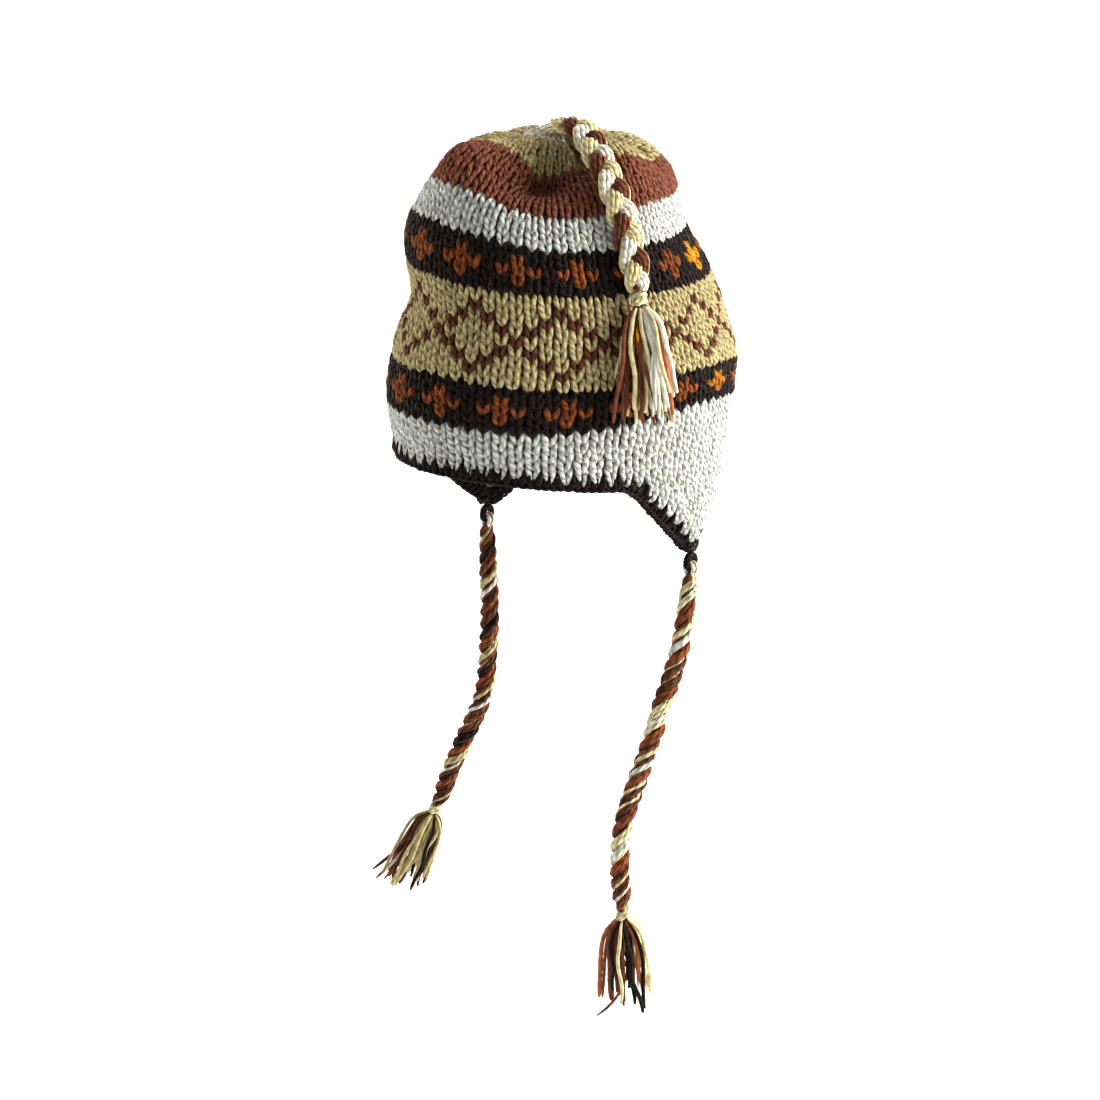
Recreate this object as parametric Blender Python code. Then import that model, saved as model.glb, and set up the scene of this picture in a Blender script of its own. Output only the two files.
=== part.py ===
"""Knitted earflap hat with a gathered top, crocheted edging, two tied braids and a top braid.

Units are metres and +Z is up. The wearer looks towards -Y and the wearer's left is +X.
The origin is the middle of the head opening, at the mean height of the rim.
"""

import math

import bmesh
import bpy
import numpy as np

# Driving sizes
HALF_WIDTH = 0.085  # crown at the brow, outside, side to side, halved
HALF_LENGTH = 0.102  # crown at the brow, outside, front to back, halved
CROWN_HEIGHT = 0.1725  # rim to the highest lobe of the gathered top
WALL = 0.005  # thickness of the knitted cloth
FIT_GAP = 0.0003  # clearance between neighbouring pieces
RIM_TILT = 0.15  # rise of the rim for each metre towards the front
EVEN_TURN = 0.045  # spreads equal turns into equal lengths of the oval rim
INNER_GATHER = 0.7  # share of each gather that shows on the inside
EDGE_RADIUS = 0.0029  # crocheted edging, half its thickness
EDGE_GAP = 0.0006  # clearance between the edging and the knitted cloth
FLAP_DROP = 0.0445  # mean rim height to the tip of a flap
FLAP_FRONT = 0.190  # front corner of a flap, share of a turn from the middle front
FLAP_BACK = 0.400  # back corner of a flap, share of a turn from the middle front
FLAP_BULGE = 0.0025  # outward belly of a flap at its mid height
FLAP_END = 0.93  # share of the flap's drop where its blunt tip ends
TIP_OUT = 0.0725  # flap tip, distance from the middle plane
TIP_BACK = 0.0210  # flap tip, distance behind the middle of the opening
LOOP_RADIUS = 0.0036  # tip loop, centre to the middle of its yarn
LOOP_YARN = 0.0019  # tip loop, half the thickness of its yarn
BRAID_RADIUS = 0.0067  # top braid, half its thickness
TIE_RADIUS = 0.0052  # flap braids, half their thickness
WRAP_SHARE = 0.86  # wound yarn, its radius as a share of its braid's radius
TOP_WRAP = 0.0080  # wound length on the top braid
TIE_WRAP = 0.0060  # wound length on a flap braid
TOP_TASSEL = 0.058  # length of the top tassel
TIE_TASSEL = 0.052  # length of a flap tassel
PRESS = 0.85  # share of a top lock's lean towards the crown that the crown takes away

# Fine shaping
PROFILE_STEP = 0.004  # half step, share of the arc, for the profile's slope
POLE_FADE = 0.06  # share of the arc before the pole where the normal turns upright
RIM_SQUARE = 0.05  # share of the arc above the rim where the normal turns from level
EDGE_FRONT_CORNER = 0.012  # edging leaves the front rim this share of a turn before a flap
EDGE_BACK_CORNER = 0.016  # and joins the back rim this share of a turn behind it

# Meshing
TURNS = 60
OUTER_ROWS = 25
INNER_ROWS = 15
FLAP_COLUMNS = 14
FLAP_ROWS = 7
EDGE_STATIONS = 150
EDGE_SIDES = 7
LOOP_STATIONS = 14
LOOP_SIDES = 6

# Crown profile from the rim to the pole.
# height: share of CROWN_HEIGHT; width: share of HALF_WIDTH; length: share of HALF_LENGTH;
# across, along: shift of the section's middle to +X and to +Y, shares of HALF_WIDTH.
PROFILE_COLUMNS = ("height", "width", "length", "across", "along")
PROFILE = (
    (0.000, 0.960, 0.965, 0.000, -0.030),
    (0.090, 0.985, 0.990, 0.000, -0.025),
    (0.170, 1.000, 1.000, 0.000, -0.010),
    (0.330, 0.990, 0.990, 0.005, 0.010),
    (0.500, 0.920, 0.915, 0.000, 0.005),
    (0.680, 0.840, 0.835, -0.025, -0.025),
    (0.780, 0.785, 0.780, -0.035, -0.040),
    (0.900, 0.680, 0.660, -0.040, -0.040),
    (0.965, 0.540, 0.520, -0.045, -0.035),
    (0.995, 0.370, 0.350, -0.045, -0.035),
    (0.990, 0.210, 0.200, -0.045, -0.035),
    (0.965, 0.085, 0.080, -0.045, -0.035),
    (0.950, 0.000, 0.000, -0.045, -0.035),
)

# Hollows and swells of the soft wall.
# turn: share of a turn from the middle front towards the wearer's left; up: share of the
# knitted arc from rim to pole; round, rise: half spreads in the same shares;
# out: share of HALF_WIDTH, minus for a hollow.
SLUMP_COLUMNS = ("turn", "up", "round", "rise", "out")
SLUMPS = (
    (0.860, 0.395, 0.110, 0.055, -0.045),
    (0.860, 0.560, 0.120, 0.075, 0.050),
    (0.880, 0.150, 0.140, 0.070, 0.020),
    (0.360, 0.580, 0.120, 0.090, -0.070),
    (0.350, 0.270, 0.110, 0.080, 0.025),
    (0.120, 0.790, 0.050, 0.110, -0.080),
    (0.960, 0.760, 0.055, 0.080, 0.045),
    (0.235, 0.790, 0.045, 0.080, 0.050),
    (0.560, 0.480, 0.080, 0.090, -0.035),
    (0.680, 0.300, 0.090, 0.100, 0.020),
)

# Gathers of the closed top.
# turn: as above; width: half width, share of a turn; depth: share of HALF_WIDTH.
GATHER_COLUMNS = ("turn", "width", "depth")
GATHERS = (
    (0.062, 0.017, 0.110),
    (0.178, 0.017, 0.100),
    (0.325, 0.024, 0.075),
    (0.470, 0.022, 0.085),
    (0.610, 0.024, 0.080),
    (0.745, 0.022, 0.085),
    (0.872, 0.020, 0.070),
)
GATHER_START = 0.66  # share of the arc where the gathers begin
GATHER_DEEPEST = 0.84  # share of the arc where they are deepest

# Routes of the three braids, metres, read as smooth curves through these points. A tie's route
# starts below its tip loop, TIE_DROP straight down before its first point here.
TIE_DROP = 0.006
TOP_ROUTE = (
    (-0.0064, -0.0029, 0.1708),
    (-0.0020, -0.0045, 0.1755),
    (0.0075, -0.0090, 0.1785),
    (0.0185, -0.0132, 0.1797),
    (0.0280, -0.0178, 0.1780),
    (0.0375, -0.0232, 0.1730),
    (0.0463, -0.0282, 0.1665),
    (0.0588, -0.0330, 0.1537),
    (0.0653, -0.0333, 0.1394),
    (0.0702, -0.0334, 0.1249),
    (0.0743, -0.0341, 0.1111),
    (0.0757, -0.0353, 0.1053),
)
LEFT_ROUTE = (
    (0.0715, 0.0170, -0.0770),
    (0.0715, 0.0152, -0.0890),
    (0.0715, 0.0118, -0.1010),
    (0.0715, 0.0045, -0.1165),
    (0.0715, -0.0045, -0.1310),
    (0.0715, -0.0148, -0.1498),
    (0.0715, -0.0270, -0.1679),
    (0.0715, -0.0360, -0.1836),
    (0.0715, -0.0398, -0.1950),
    (0.0715, -0.0412, -0.2100),
    (0.0715, -0.0403, -0.2240),
    (0.0715, -0.0388, -0.2380),
)
RIGHT_ROUTE = (
    (-0.0703, 0.0202, -0.0825),
    (-0.0698, 0.0205, -0.1007),
    (-0.0697, 0.0206, -0.1226),
    (-0.0706, 0.0200, -0.1381),
    (-0.0718, 0.0194, -0.1536),
    (-0.0740, 0.0180, -0.1680),
    (-0.0777, 0.0159, -0.1790),
    (-0.0823, 0.0133, -0.1908),
    (-0.0865, 0.0109, -0.2028),
    (-0.0908, 0.0084, -0.2152),
    (-0.0956, 0.0056, -0.2308),
    (-0.0978, 0.0044, -0.2360),
)

# Locks of a tassel: turn round its axis, share of a turn; lean: tangent of its angle off the
# axis; reach: share of the tassel's length; girth: share of the braid's radius; bend: sideways
# drift at its end, share of its length.
LOCK_COLUMNS = ("turn", "lean", "reach", "girth", "bend")
TOP_LOCKS = (
    (0.02, 0.34, 0.84, 0.60, 0.05),
    (0.19, 0.26, 1.00, 0.54, -0.05),
    (0.36, 0.40, 0.86, 0.60, 0.06),
    (0.53, 0.34, 1.00, 0.54, 0.06),
    (0.70, 0.42, 0.80, 0.58, -0.06),
    (0.86, 0.30, 0.94, 0.56, 0.04),
    (0.45, 0.06, 0.92, 0.62, 0.02),
)
TIE_LOCKS = (
    (0.05, 0.40, 0.88, 0.66, 0.07),
    (0.25, 0.32, 1.00, 0.60, -0.05),
    (0.43, 0.46, 0.84, 0.66, 0.06),
    (0.62, 0.34, 0.96, 0.60, -0.05),
    (0.82, 0.42, 0.90, 0.64, 0.05),
    (0.50, 0.05, 0.94, 0.70, 0.04),
)
LOCK_SIDES = 6
LOCK_RINGS = (0.0, 0.22, 0.48, 0.76, 1.0)  # shares of a lock's reach
LOCK_TAPER = (0.85, 1.1, 1.15, 1.0, 0.45)  # girth at those rings

# Colours, linear
COLOURS = {
    "khaki_knit": (0.46, 0.40, 0.20, 1.0),
    "white_knit_left": (0.62, 0.62, 0.56, 1.0),
    "white_knit_right": (0.62, 0.62, 0.56, 1.0),
    "dark_crochet": (0.030, 0.018, 0.012, 1.0),
    "dark_loop_left": (0.030, 0.018, 0.012, 1.0),
    "dark_loop_right": (0.030, 0.018, 0.012, 1.0),
    "top_plait": (0.55, 0.45, 0.24, 1.0),
    "cream_wind_top": (0.70, 0.62, 0.38, 1.0),
    "rust_tassel_top": (0.38, 0.15, 0.06, 1.0),
    "left_plait": (0.38, 0.16, 0.07, 1.0),
    "cream_wind_left": (0.70, 0.62, 0.38, 1.0),
    "rust_tassel_left": (0.36, 0.13, 0.05, 1.0),
    "right_plait": (0.34, 0.17, 0.08, 1.0),
    "cream_wind_right": (0.70, 0.62, 0.38, 1.0),
    "rust_tassel_right": (0.30, 0.12, 0.05, 1.0),
}


def column(table, names, name):
    """One named column of a table as an array."""
    return np.array([row[names.index(name)] for row in table])


def smooth(x, xs, ys):
    """Smooth curve through the points (xs, ys): on each span a cubic whose end slopes are the
    slopes between the neighbouring points."""
    x = np.clip(np.asarray(x, float), xs[0], xs[-1])
    slope = np.gradient(ys, xs)
    i = np.clip(np.searchsorted(xs, x, side="right") - 1, 0, len(xs) - 2)
    span = xs[i + 1] - xs[i]
    t = (x - xs[i]) / span
    return (
        (2 * t**3 - 3 * t**2 + 1) * ys[i]
        + (t**3 - 2 * t**2 + t) * span * slope[i]
        + (3 * t**2 - 2 * t**3) * ys[i + 1]
        + (t**3 - t**2) * span * slope[i + 1]
    )


def profile():
    """Arc shares of the profile's rows and their five columns."""
    radius = column(PROFILE, PROFILE_COLUMNS, "width") * HALF_WIDTH
    height = column(PROFILE, PROFILE_COLUMNS, "height") * CROWN_HEIGHT
    step = np.hypot(np.diff(radius), np.diff(height))
    arc = np.concatenate(([0.0], np.cumsum(step)))
    return arc / arc[-1], {
        name: column(PROFILE, PROFILE_COLUMNS, name) for name in PROFILE_COLUMNS
    }


ARC, SECTION = profile()


def apart(turn, centre):
    """Signed distance between turns, -0.5 to 0.5."""
    return (turn - centre + 0.5) % 1.0 - 0.5


def swell(turn, up):
    """Outward swell in metres: the sum of round bells, one for each row of SLUMPS."""
    total = np.zeros(np.broadcast(turn, up).shape)
    for centre, level, wide, rise, out in SLUMPS:
        bell = np.exp(-((apart(turn, centre) / wide) ** 2) - ((up - level) / rise) ** 2)
        total = total + out * HALF_WIDTH * bell
    return total


def gather(turn, up):
    """Depth in metres of the top's gathers: a bell across each fold, which starts at
    GATHER_START, is deepest at GATHER_DEEPEST and ends at the pole."""
    rising = np.clip((up - GATHER_START) / (GATHER_DEEPEST - GATHER_START), 0, 1)
    falling = np.clip((1 - up) / (1 - GATHER_DEEPEST), 0, 1)
    ramp = np.sin(rising * math.pi / 2) ** 2 * np.sin(falling * math.pi / 2)
    total = np.zeros(np.broadcast(turn, up).shape)
    for centre, wide, depth in GATHERS:
        total = total + depth * HALF_WIDTH * np.exp(-((apart(turn, centre) / wide) ** 2))
    return total * ramp


def crown_point(turn, up, out, share=1.0):
    """Points of the crown. turn and up are shares of a turn and of the arc. The section at up is
    an oval of half sizes w and l round its own middle; swell, gather and out move a point along
    the profile's normal; the rim's tilt raises the front and fades towards the pole."""
    turn = np.asarray(turn, float)
    up = np.asarray(up, float)
    angle = 2 * math.pi * turn
    angle = angle + EVEN_TURN * np.sin(2 * angle)
    wide = smooth(up, ARC, SECTION["width"]) * HALF_WIDTH
    long = smooth(up, ARC, SECTION["length"]) * HALF_LENGTH
    low = np.clip(up - PROFILE_STEP, 0, 1)
    high = np.clip(up + PROFILE_STEP, 0, 1)
    drop = (smooth(low, ARC, SECTION["width"]) - smooth(high, ARC, SECTION["width"])) * HALF_WIDTH
    rise = (smooth(high, ARC, SECTION["height"]) - smooth(low, ARC, SECTION["height"])) * CROWN_HEIGHT
    size = np.hypot(drop, rise)
    normal_out = rise / size
    normal_up = drop / size
    fade = np.clip((1 - up) / POLE_FADE, 0, 1)
    normal_out = np.maximum(normal_out, -0.2) * fade
    normal_up = normal_up * np.clip(up / RIM_SQUARE, 0, 1)
    move = out + swell(turn, up) - share * gather(turn, up)
    x = (wide + move * normal_out) * np.sin(angle) + smooth(up, ARC, SECTION["across"]) * HALF_WIDTH
    y = smooth(up, ARC, SECTION["along"]) * HALF_WIDTH - (long + move * normal_out) * np.cos(angle)
    z = smooth(up, ARC, SECTION["height"]) * CROWN_HEIGHT + move * normal_up
    mean_y = smooth(up, ARC, SECTION["along"]) * HALF_WIDTH - long * np.cos(angle)
    z = z - RIM_TILT * mean_y * (1 - up) ** 2
    return np.stack([x, y, z], -1)


def flap_point(side, across, down, out):
    """Points of a flap. across runs -1 (front corner) to 1 (back corner) along the rim and down
    runs 0 (rim) to 1 (tip): straight lines from the rim to the tip, with a shallow belly."""
    across = np.asarray(across, float)
    down = np.asarray(down, float)[..., None]
    middle = (FLAP_FRONT + FLAP_BACK) / 2
    turn = middle + across * (FLAP_BACK - FLAP_FRONT) / 2
    top = crown_point(turn, np.zeros_like(turn), out)
    outward = crown_point(turn, np.zeros_like(turn), 1.0) - crown_point(turn, np.zeros_like(turn), 0.0)
    outward = outward * np.array([1.0, 1.0, 0.0])
    tip = np.array([TIP_OUT, TIP_BACK, -FLAP_DROP])
    end = tip + out * outward
    point = top * (1 - down) + end * down + outward * FLAP_BULGE * 4 * down * (1 - down)
    point = point - np.array([0.0, 0.0, FIT_GAP])
    return point * np.array([side, 1.0, 1.0])


def clear():
    """Takes every object out of the scene."""
    for item in list(bpy.data.objects):
        bpy.data.objects.remove(item, do_unlink=True)


def material(name):
    """A plain fabric material of its own."""
    found = bpy.data.materials.new(name)
    found.use_nodes = True
    shader = found.node_tree.nodes["Principled BSDF"]
    shader.inputs["Base Color"].default_value = COLOURS[name]
    shader.inputs["Roughness"].default_value = 0.95
    found.diffuse_color = COLOURS[name]
    return found


def add_mesh(name, points, faces, colour):
    """Links one closed mesh, its faces turned outwards."""
    mesh = bpy.data.meshes.new(name)
    mesh.from_pydata([tuple(p) for p in points], [], faces)
    work = bmesh.new()
    work.from_mesh(mesh)
    bmesh.ops.recalc_face_normals(work, faces=work.faces)
    work.to_mesh(mesh)
    work.free()
    item = bpy.data.objects.new(name, mesh)
    bpy.context.scene.collection.objects.link(item)
    mesh.materials.append(material(colour))
    return item


def ring_faces(start, rows, round_count, closed=True):
    """Quads between successive rows of a grid that starts at vertex start."""
    count = round_count if closed else round_count - 1
    faces = []
    for r in range(rows - 1):
        for c in range(count):
            n = (c + 1) % round_count
            a = start + r * round_count
            faces.append((a + c, a + n, a + round_count + n, a + round_count + c))
    return faces


def build_crown():
    """Outer and inner skins from the rim to the pole, joined along the rim."""
    turn = np.arange(TURNS) / TURNS
    rows_out = np.linspace(0, 1, OUTER_ROWS + 1)[:-1]
    rows_in = np.linspace(0, 1, INNER_ROWS + 1)[:-1]
    outer = crown_point(turn[None, :], rows_out[:, None], 0.0).reshape(-1, 3)
    inner = crown_point(turn[None, :], rows_in[:, None], -WALL, INNER_GATHER).reshape(-1, 3)
    pole_out = crown_point(np.array(0.0), np.array(1.0), 0.0)
    pole_in = crown_point(np.array(0.0), np.array(1.0), -WALL, INNER_GATHER)
    points = np.concatenate([outer, inner, pole_out[None, :], pole_in[None, :]])
    second = len(outer)
    faces = ring_faces(0, OUTER_ROWS, TURNS)
    faces += ring_faces(second, INNER_ROWS, TURNS)
    last_out = (OUTER_ROWS - 1) * TURNS
    last_in = second + (INNER_ROWS - 1) * TURNS
    top = second + len(inner)
    for c in range(TURNS):
        n = (c + 1) % TURNS
        faces.append((c, n, second + n, second + c))
        faces.append((last_out + c, last_out + n, top))
        faces.append((last_in + c, last_in + n, top + 1))
    return add_mesh("crown", points, faces, "khaki_knit")


def build_flap(side, name, colour):
    """Outer and inner skins of a flap joined along all four edges."""
    across = np.linspace(-1, 1, FLAP_COLUMNS + 1)
    down = np.linspace(0, FLAP_END, FLAP_ROWS + 1)
    grid = np.meshgrid(across, down)
    outer = flap_point(side, grid[0], grid[1], 0.0).reshape(-1, 3)
    inner = flap_point(side, grid[0], grid[1], -WALL).reshape(-1, 3)
    wide = FLAP_COLUMNS + 1
    rows = FLAP_ROWS + 1
    second = len(outer)
    faces = ring_faces(0, rows, wide, closed=False)
    faces += ring_faces(second, rows, wide, closed=False)
    border = [c for c in range(wide)]
    border += [r * wide + wide - 1 for r in range(1, rows)]
    border += [(rows - 1) * wide + c for c in range(wide - 2, -1, -1)]
    border += [r * wide for r in range(rows - 2, 0, -1)]
    for k, a in enumerate(border):
        b = border[(k + 1) % len(border)]
        faces.append((a, b, second + b, second + a))
    return add_mesh(name, np.concatenate([outer, inner]), faces, colour)


def through(route, count, closed=False):
    """count points at equal lengths along a smooth curve through the route's points."""
    route = np.asarray(route, float)
    if closed:
        route = np.concatenate([route[-3:], route, route[:4]])
    step = np.linalg.norm(np.diff(route, axis=0), axis=1)
    at = np.concatenate(([0.0], np.cumsum(step)))
    start = at[3] if closed else 0.0
    end = at[len(route) - 4] if closed else at[-1]
    fine = np.linspace(start, end, 40 * count + 1)
    curve = np.stack([smooth(fine, at, route[:, k]) for k in range(3)], -1)
    length = np.concatenate(([0.0], np.cumsum(np.linalg.norm(np.diff(curve, axis=0), axis=1))))
    stops = np.linspace(0, length[-1], count + 1)[:-1] if closed else np.linspace(0, length[-1], count)
    return np.stack([np.interp(stops, length, curve[:, k]) for k in range(3)], -1)


def edge_route():
    """Middle line of the edging: below the rim at the front and back, and beside each flap."""
    off = EDGE_RADIUS + EDGE_GAP
    middle = -WALL / 2
    down = np.array([0.0, 0.0, -off])
    ahead = FLAP_FRONT - EDGE_FRONT_CORNER
    behind = FLAP_BACK + EDGE_BACK_CORNER
    front = np.linspace(-ahead, ahead, 15)
    back = np.linspace(behind, 1 - behind, 9)
    shares = np.array([0.12, 0.30, 0.48, 0.66, 0.81, FLAP_END])
    sides = {}
    for side in (1, -1):
        lines = []
        for edge in (-1.0, 1.0):
            line = flap_point(side, np.full(len(shares), edge), shares, middle)
            inner = flap_point(side, np.full(len(shares), edge * 0.96), shares, middle)
            along = flap_point(side, np.full(len(shares), edge), shares + 0.01, middle) - line
            along = along / np.linalg.norm(along, axis=1)[:, None]
            away = line - inner
            away = away - along * np.sum(away * along, axis=1)[:, None]
            away = away / np.linalg.norm(away, axis=1)[:, None]
            lines.append(line + away * off)
        ends = flap_point(side, np.array([-1.0, 0.0, 1.0]), np.full(3, FLAP_END), middle)
        ends = ends + down
        sides[side] = (lines[0], ends, lines[1])
    rim = crown_point(front, np.zeros_like(front), middle) + down
    nape = crown_point(back, np.zeros_like(back), middle) + down
    left = sides[1]
    right = sides[-1]
    return np.concatenate(
        [rim, left[0], left[1], left[2][::-1], nape, right[2], right[1][::-1], right[0][::-1]]
    )


def frames(line):
    """Two cross directions at each point of a closed line, the first one facing outwards."""
    tangent = np.roll(line, -1, axis=0) - np.roll(line, 1, axis=0)
    tangent = tangent / np.linalg.norm(tangent, axis=1)[:, None]
    outward = line * np.array([1.0, 1.0, 0.0])
    first = outward - tangent * np.sum(outward * tangent, axis=1)[:, None]
    first = first / np.linalg.norm(first, axis=1)[:, None]
    return first, np.cross(tangent, first)


def build_edging():
    """A closed tube along the edging's middle line."""
    line = through(edge_route(), EDGE_STATIONS, closed=True)
    first, second = frames(line)
    angle = np.arange(EDGE_SIDES) * 2 * math.pi / EDGE_SIDES
    ring = first[:, None, :] * np.cos(angle)[None, :, None]
    ring = ring + second[:, None, :] * np.sin(angle)[None, :, None]
    points = (line[:, None, :] + ring * EDGE_RADIUS).reshape(-1, 3)
    faces = ring_faces(0, EDGE_STATIONS, EDGE_SIDES)
    last = (EDGE_STATIONS - 1) * EDGE_SIDES
    for c in range(EDGE_SIDES):
        n = (c + 1) % EDGE_SIDES
        faces.append((last + c, last + n, n, c))
    return add_mesh("edging", points, faces, "dark_crochet")


def loop_centre(side):
    """Middle of a tip loop, just below the edging at the flap's tip."""
    tip = flap_point(side, np.array(0.0), np.array(FLAP_END), -WALL / 2)
    below = 2 * (EDGE_RADIUS + EDGE_GAP) + LOOP_RADIUS + LOOP_YARN
    return tip - np.array([0.0, 0.0, below])


def build_loop(side, name, colour):
    """A small ring in the plane of the flap."""
    turn = np.arange(LOOP_STATIONS) * 2 * math.pi / LOOP_STATIONS
    cross = np.arange(LOOP_SIDES) * 2 * math.pi / LOOP_SIDES
    reach = LOOP_RADIUS + LOOP_YARN * np.cos(cross)[None, :]
    x = np.broadcast_to(LOOP_YARN * np.sin(cross)[None, :], (LOOP_STATIONS, LOOP_SIDES))
    y = reach * np.sin(turn)[:, None]
    z = reach * np.cos(turn)[:, None]
    points = np.stack([x, y, z], -1).reshape(-1, 3) + loop_centre(side)
    faces = ring_faces(0, LOOP_STATIONS, LOOP_SIDES)
    last = (LOOP_STATIONS - 1) * LOOP_SIDES
    for c in range(LOOP_SIDES):
        n = (c + 1) % LOOP_SIDES
        faces.append((last + c, last + n, n, c))
    return add_mesh(name, points, faces, colour)


def build_braid(name, route, radius, count, colour):
    """A cord tube along a smooth curve through its route."""
    line = through(route, count)
    curve = bpy.data.curves.new(name, "CURVE")
    curve.dimensions = "3D"
    curve.bevel_depth = radius
    curve.bevel_resolution = 3
    curve.use_fill_caps = True
    spline = curve.splines.new("POLY")
    spline.points.add(count - 1)
    for k, point in enumerate(line):
        spline.points[k].co = (point[0], point[1], point[2], 1.0)
    item = bpy.data.objects.new(name, curve)
    bpy.context.scene.collection.objects.link(item)
    curve.materials.append(material(colour))
    end = line[-1]
    direction = line[-1] - line[-2]
    return end, direction / np.linalg.norm(direction)


def tie_route(side, rest):
    """A tie's route: from just below its tip loop, straight down, then its own points."""
    start = loop_centre(side) - np.array([0.0, 0.0, LOOP_RADIUS + LOOP_YARN + FIT_GAP])
    below = start - np.array([0.0, 0.0, TIE_DROP])
    return np.concatenate([start[None, :], below[None, :], np.array(rest)])


def cross_axes(direction):
    """Two directions square to the given one."""
    helper = np.array([1.0, 0.0, 0.0])
    first = np.cross(direction, helper)
    first = first / np.linalg.norm(first)
    return first, np.cross(direction, first)


def tube_points(line, radii, first, second, sides):
    """Rings of a straight-sided tube round each point of a line."""
    angle = np.arange(sides) * 2 * math.pi / sides
    ring = first[None, None, :] * np.cos(angle)[None, :, None]
    ring = ring + second[None, None, :] * np.sin(angle)[None, :, None]
    return (line[:, None, :] + ring * radii[:, None, None]).reshape(-1, 3)


def capped(points, rings, sides):
    """Faces of a closed tube of rings with flat ends."""
    faces = ring_faces(0, rings, sides)
    faces.append(tuple(range(sides))[::-1])
    faces.append(tuple((rings - 1) * sides + c for c in range(sides)))
    return points, faces


def build_wrap(name, start, direction, radius, length, colour):
    """Yarn wound tightly below a braid: a short barrel."""
    first, second = cross_axes(direction)
    shares = np.array([0.0, 0.25, 0.75, 1.0])
    girth = np.array([0.88, 1.0, 1.0, 0.88]) * radius * WRAP_SHARE
    line = start + direction * (FIT_GAP + length * shares)[:, None]
    points, faces = capped(tube_points(line, girth, first, second, 12), 4, 12)
    add_mesh(name, points, faces, colour)
    return line[-1]


def build_tassel(name, start, direction, wall, radius, length, locks, colour):
    """A round head and tapering locks, fused into one body. wall is the outward direction of the
    surface that the tassel lies on, or zero where it hangs free."""
    first, second = cross_axes(direction)
    head_start = start + direction * FIT_GAP
    shares = np.array([0.0, 0.06, 0.16, 0.26])
    girth = np.array([0.80, 0.98, 1.05, 0.60]) * radius
    line = head_start + direction * (length * shares)[:, None]
    points, faces = capped(tube_points(line, girth, first, second, 12), 4, 12)
    body = add_mesh(name, points, faces, colour)
    for turn, lean, reach, thick, bend in locks:
        angle = 2 * math.pi * turn
        away = first * math.cos(angle) + second * math.sin(angle)
        side = first * -math.sin(angle) + second * math.cos(angle)
        t = np.array(LOCK_RINGS)
        base = head_start + direction * length * 0.07
        run = length * (reach - 0.07)
        inward = min(0.0, float(away @ wall))
        away = away - inward * PRESS * wall
        line = base + (direction * (run * t)[:, None])
        line = line + away * (radius * 0.25 + run * lean * t * (1 - 0.25 * t))[:, None]
        line = line + side * (run * bend * t**2)[:, None]
        girth = np.array(LOCK_TAPER) * radius * thick
        spin = math.cos(0.4) * away + math.sin(0.4) * side
        other = np.cross(direction, spin)
        points, faces = capped(tube_points(line, girth, spin, other, LOCK_SIDES), len(t), LOCK_SIDES)
        lock = add_mesh(name + "_lock", points, faces, colour)
        cut = body.modifiers.new("fuse", "BOOLEAN")
        cut.operation = "UNION"
        cut.solver = "EXACT"
        cut.object = lock
        graph = bpy.context.evaluated_depsgraph_get()
        fused = bpy.data.meshes.new_from_object(body.evaluated_get(graph))
        body.modifiers.clear()
        old = body.data
        body.data = fused
        bpy.data.meshes.remove(old)
        bpy.data.objects.remove(lock, do_unlink=True)
    body.data.name = name
    tidy(body.data, colour)
    return body


def tidy(mesh, colour):
    """Keeps one material slot and clean triangles."""
    while len(mesh.materials) > 1:
        mesh.materials.pop(index=len(mesh.materials) - 1)
    mesh.materials[0] = bpy.data.materials[colour]
    for face in mesh.polygons:
        face.material_index = 0
    work = bmesh.new()
    work.from_mesh(mesh)
    bmesh.ops.remove_doubles(work, verts=work.verts, dist=0.00005)
    bmesh.ops.dissolve_degenerate(work, edges=work.edges, dist=0.00002)
    bmesh.ops.triangulate(work, faces=work.faces)
    bmesh.ops.recalc_face_normals(work, faces=work.faces)
    work.to_mesh(mesh)
    work.free()


def main():
    clear()
    free = np.zeros(3)
    build_crown()
    build_flap(1, "earflap_left", "white_knit_left")
    build_flap(-1, "earflap_right", "white_knit_right")
    build_edging()
    build_loop(1, "tip_loop_left", "dark_loop_left")
    build_loop(-1, "tip_loop_right", "dark_loop_right")
    end, way = build_braid("top_braid", TOP_ROUTE, BRAID_RADIUS, 16, "top_plait")
    last = build_wrap("top_tassel_tie", end, way, BRAID_RADIUS, TOP_WRAP, "cream_wind_top")
    outward = last * np.array([1.0, 1.0, 0.0])
    outward = outward / np.linalg.norm(outward)
    build_tassel("top_tassel", last, way, outward, BRAID_RADIUS, TOP_TASSEL, TOP_LOCKS, "rust_tassel_top")
    end, way = build_braid("left_tie", tie_route(1, LEFT_ROUTE), TIE_RADIUS, 22, "left_plait")
    last = build_wrap("left_tassel_tie", end, way, TIE_RADIUS, TIE_WRAP, "cream_wind_left")
    build_tassel("left_tassel", last, way, free, TIE_RADIUS, TIE_TASSEL, TIE_LOCKS, "rust_tassel_left")
    end, way = build_braid("right_tie", tie_route(-1, RIGHT_ROUTE), TIE_RADIUS, 18, "right_plait")
    last = build_wrap("right_tassel_tie", end, way, TIE_RADIUS, TIE_WRAP, "cream_wind_right")
    build_tassel("right_tassel", last, way, free, TIE_RADIUS, TIE_TASSEL, TIE_LOCKS, "rust_tassel_right")


main()
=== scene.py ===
"""Knitted earflap hat: stitches, crocheted edging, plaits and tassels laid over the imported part.

Metres, +Z up. The wearer looks towards -Y and the wearer's left is +X. Every yarn is a tube along
a path that numpy works out, so each shape below is a function of two parameters.
"""

import math

import bpy
import numpy as np
from mathutils import Matrix, Vector


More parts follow.
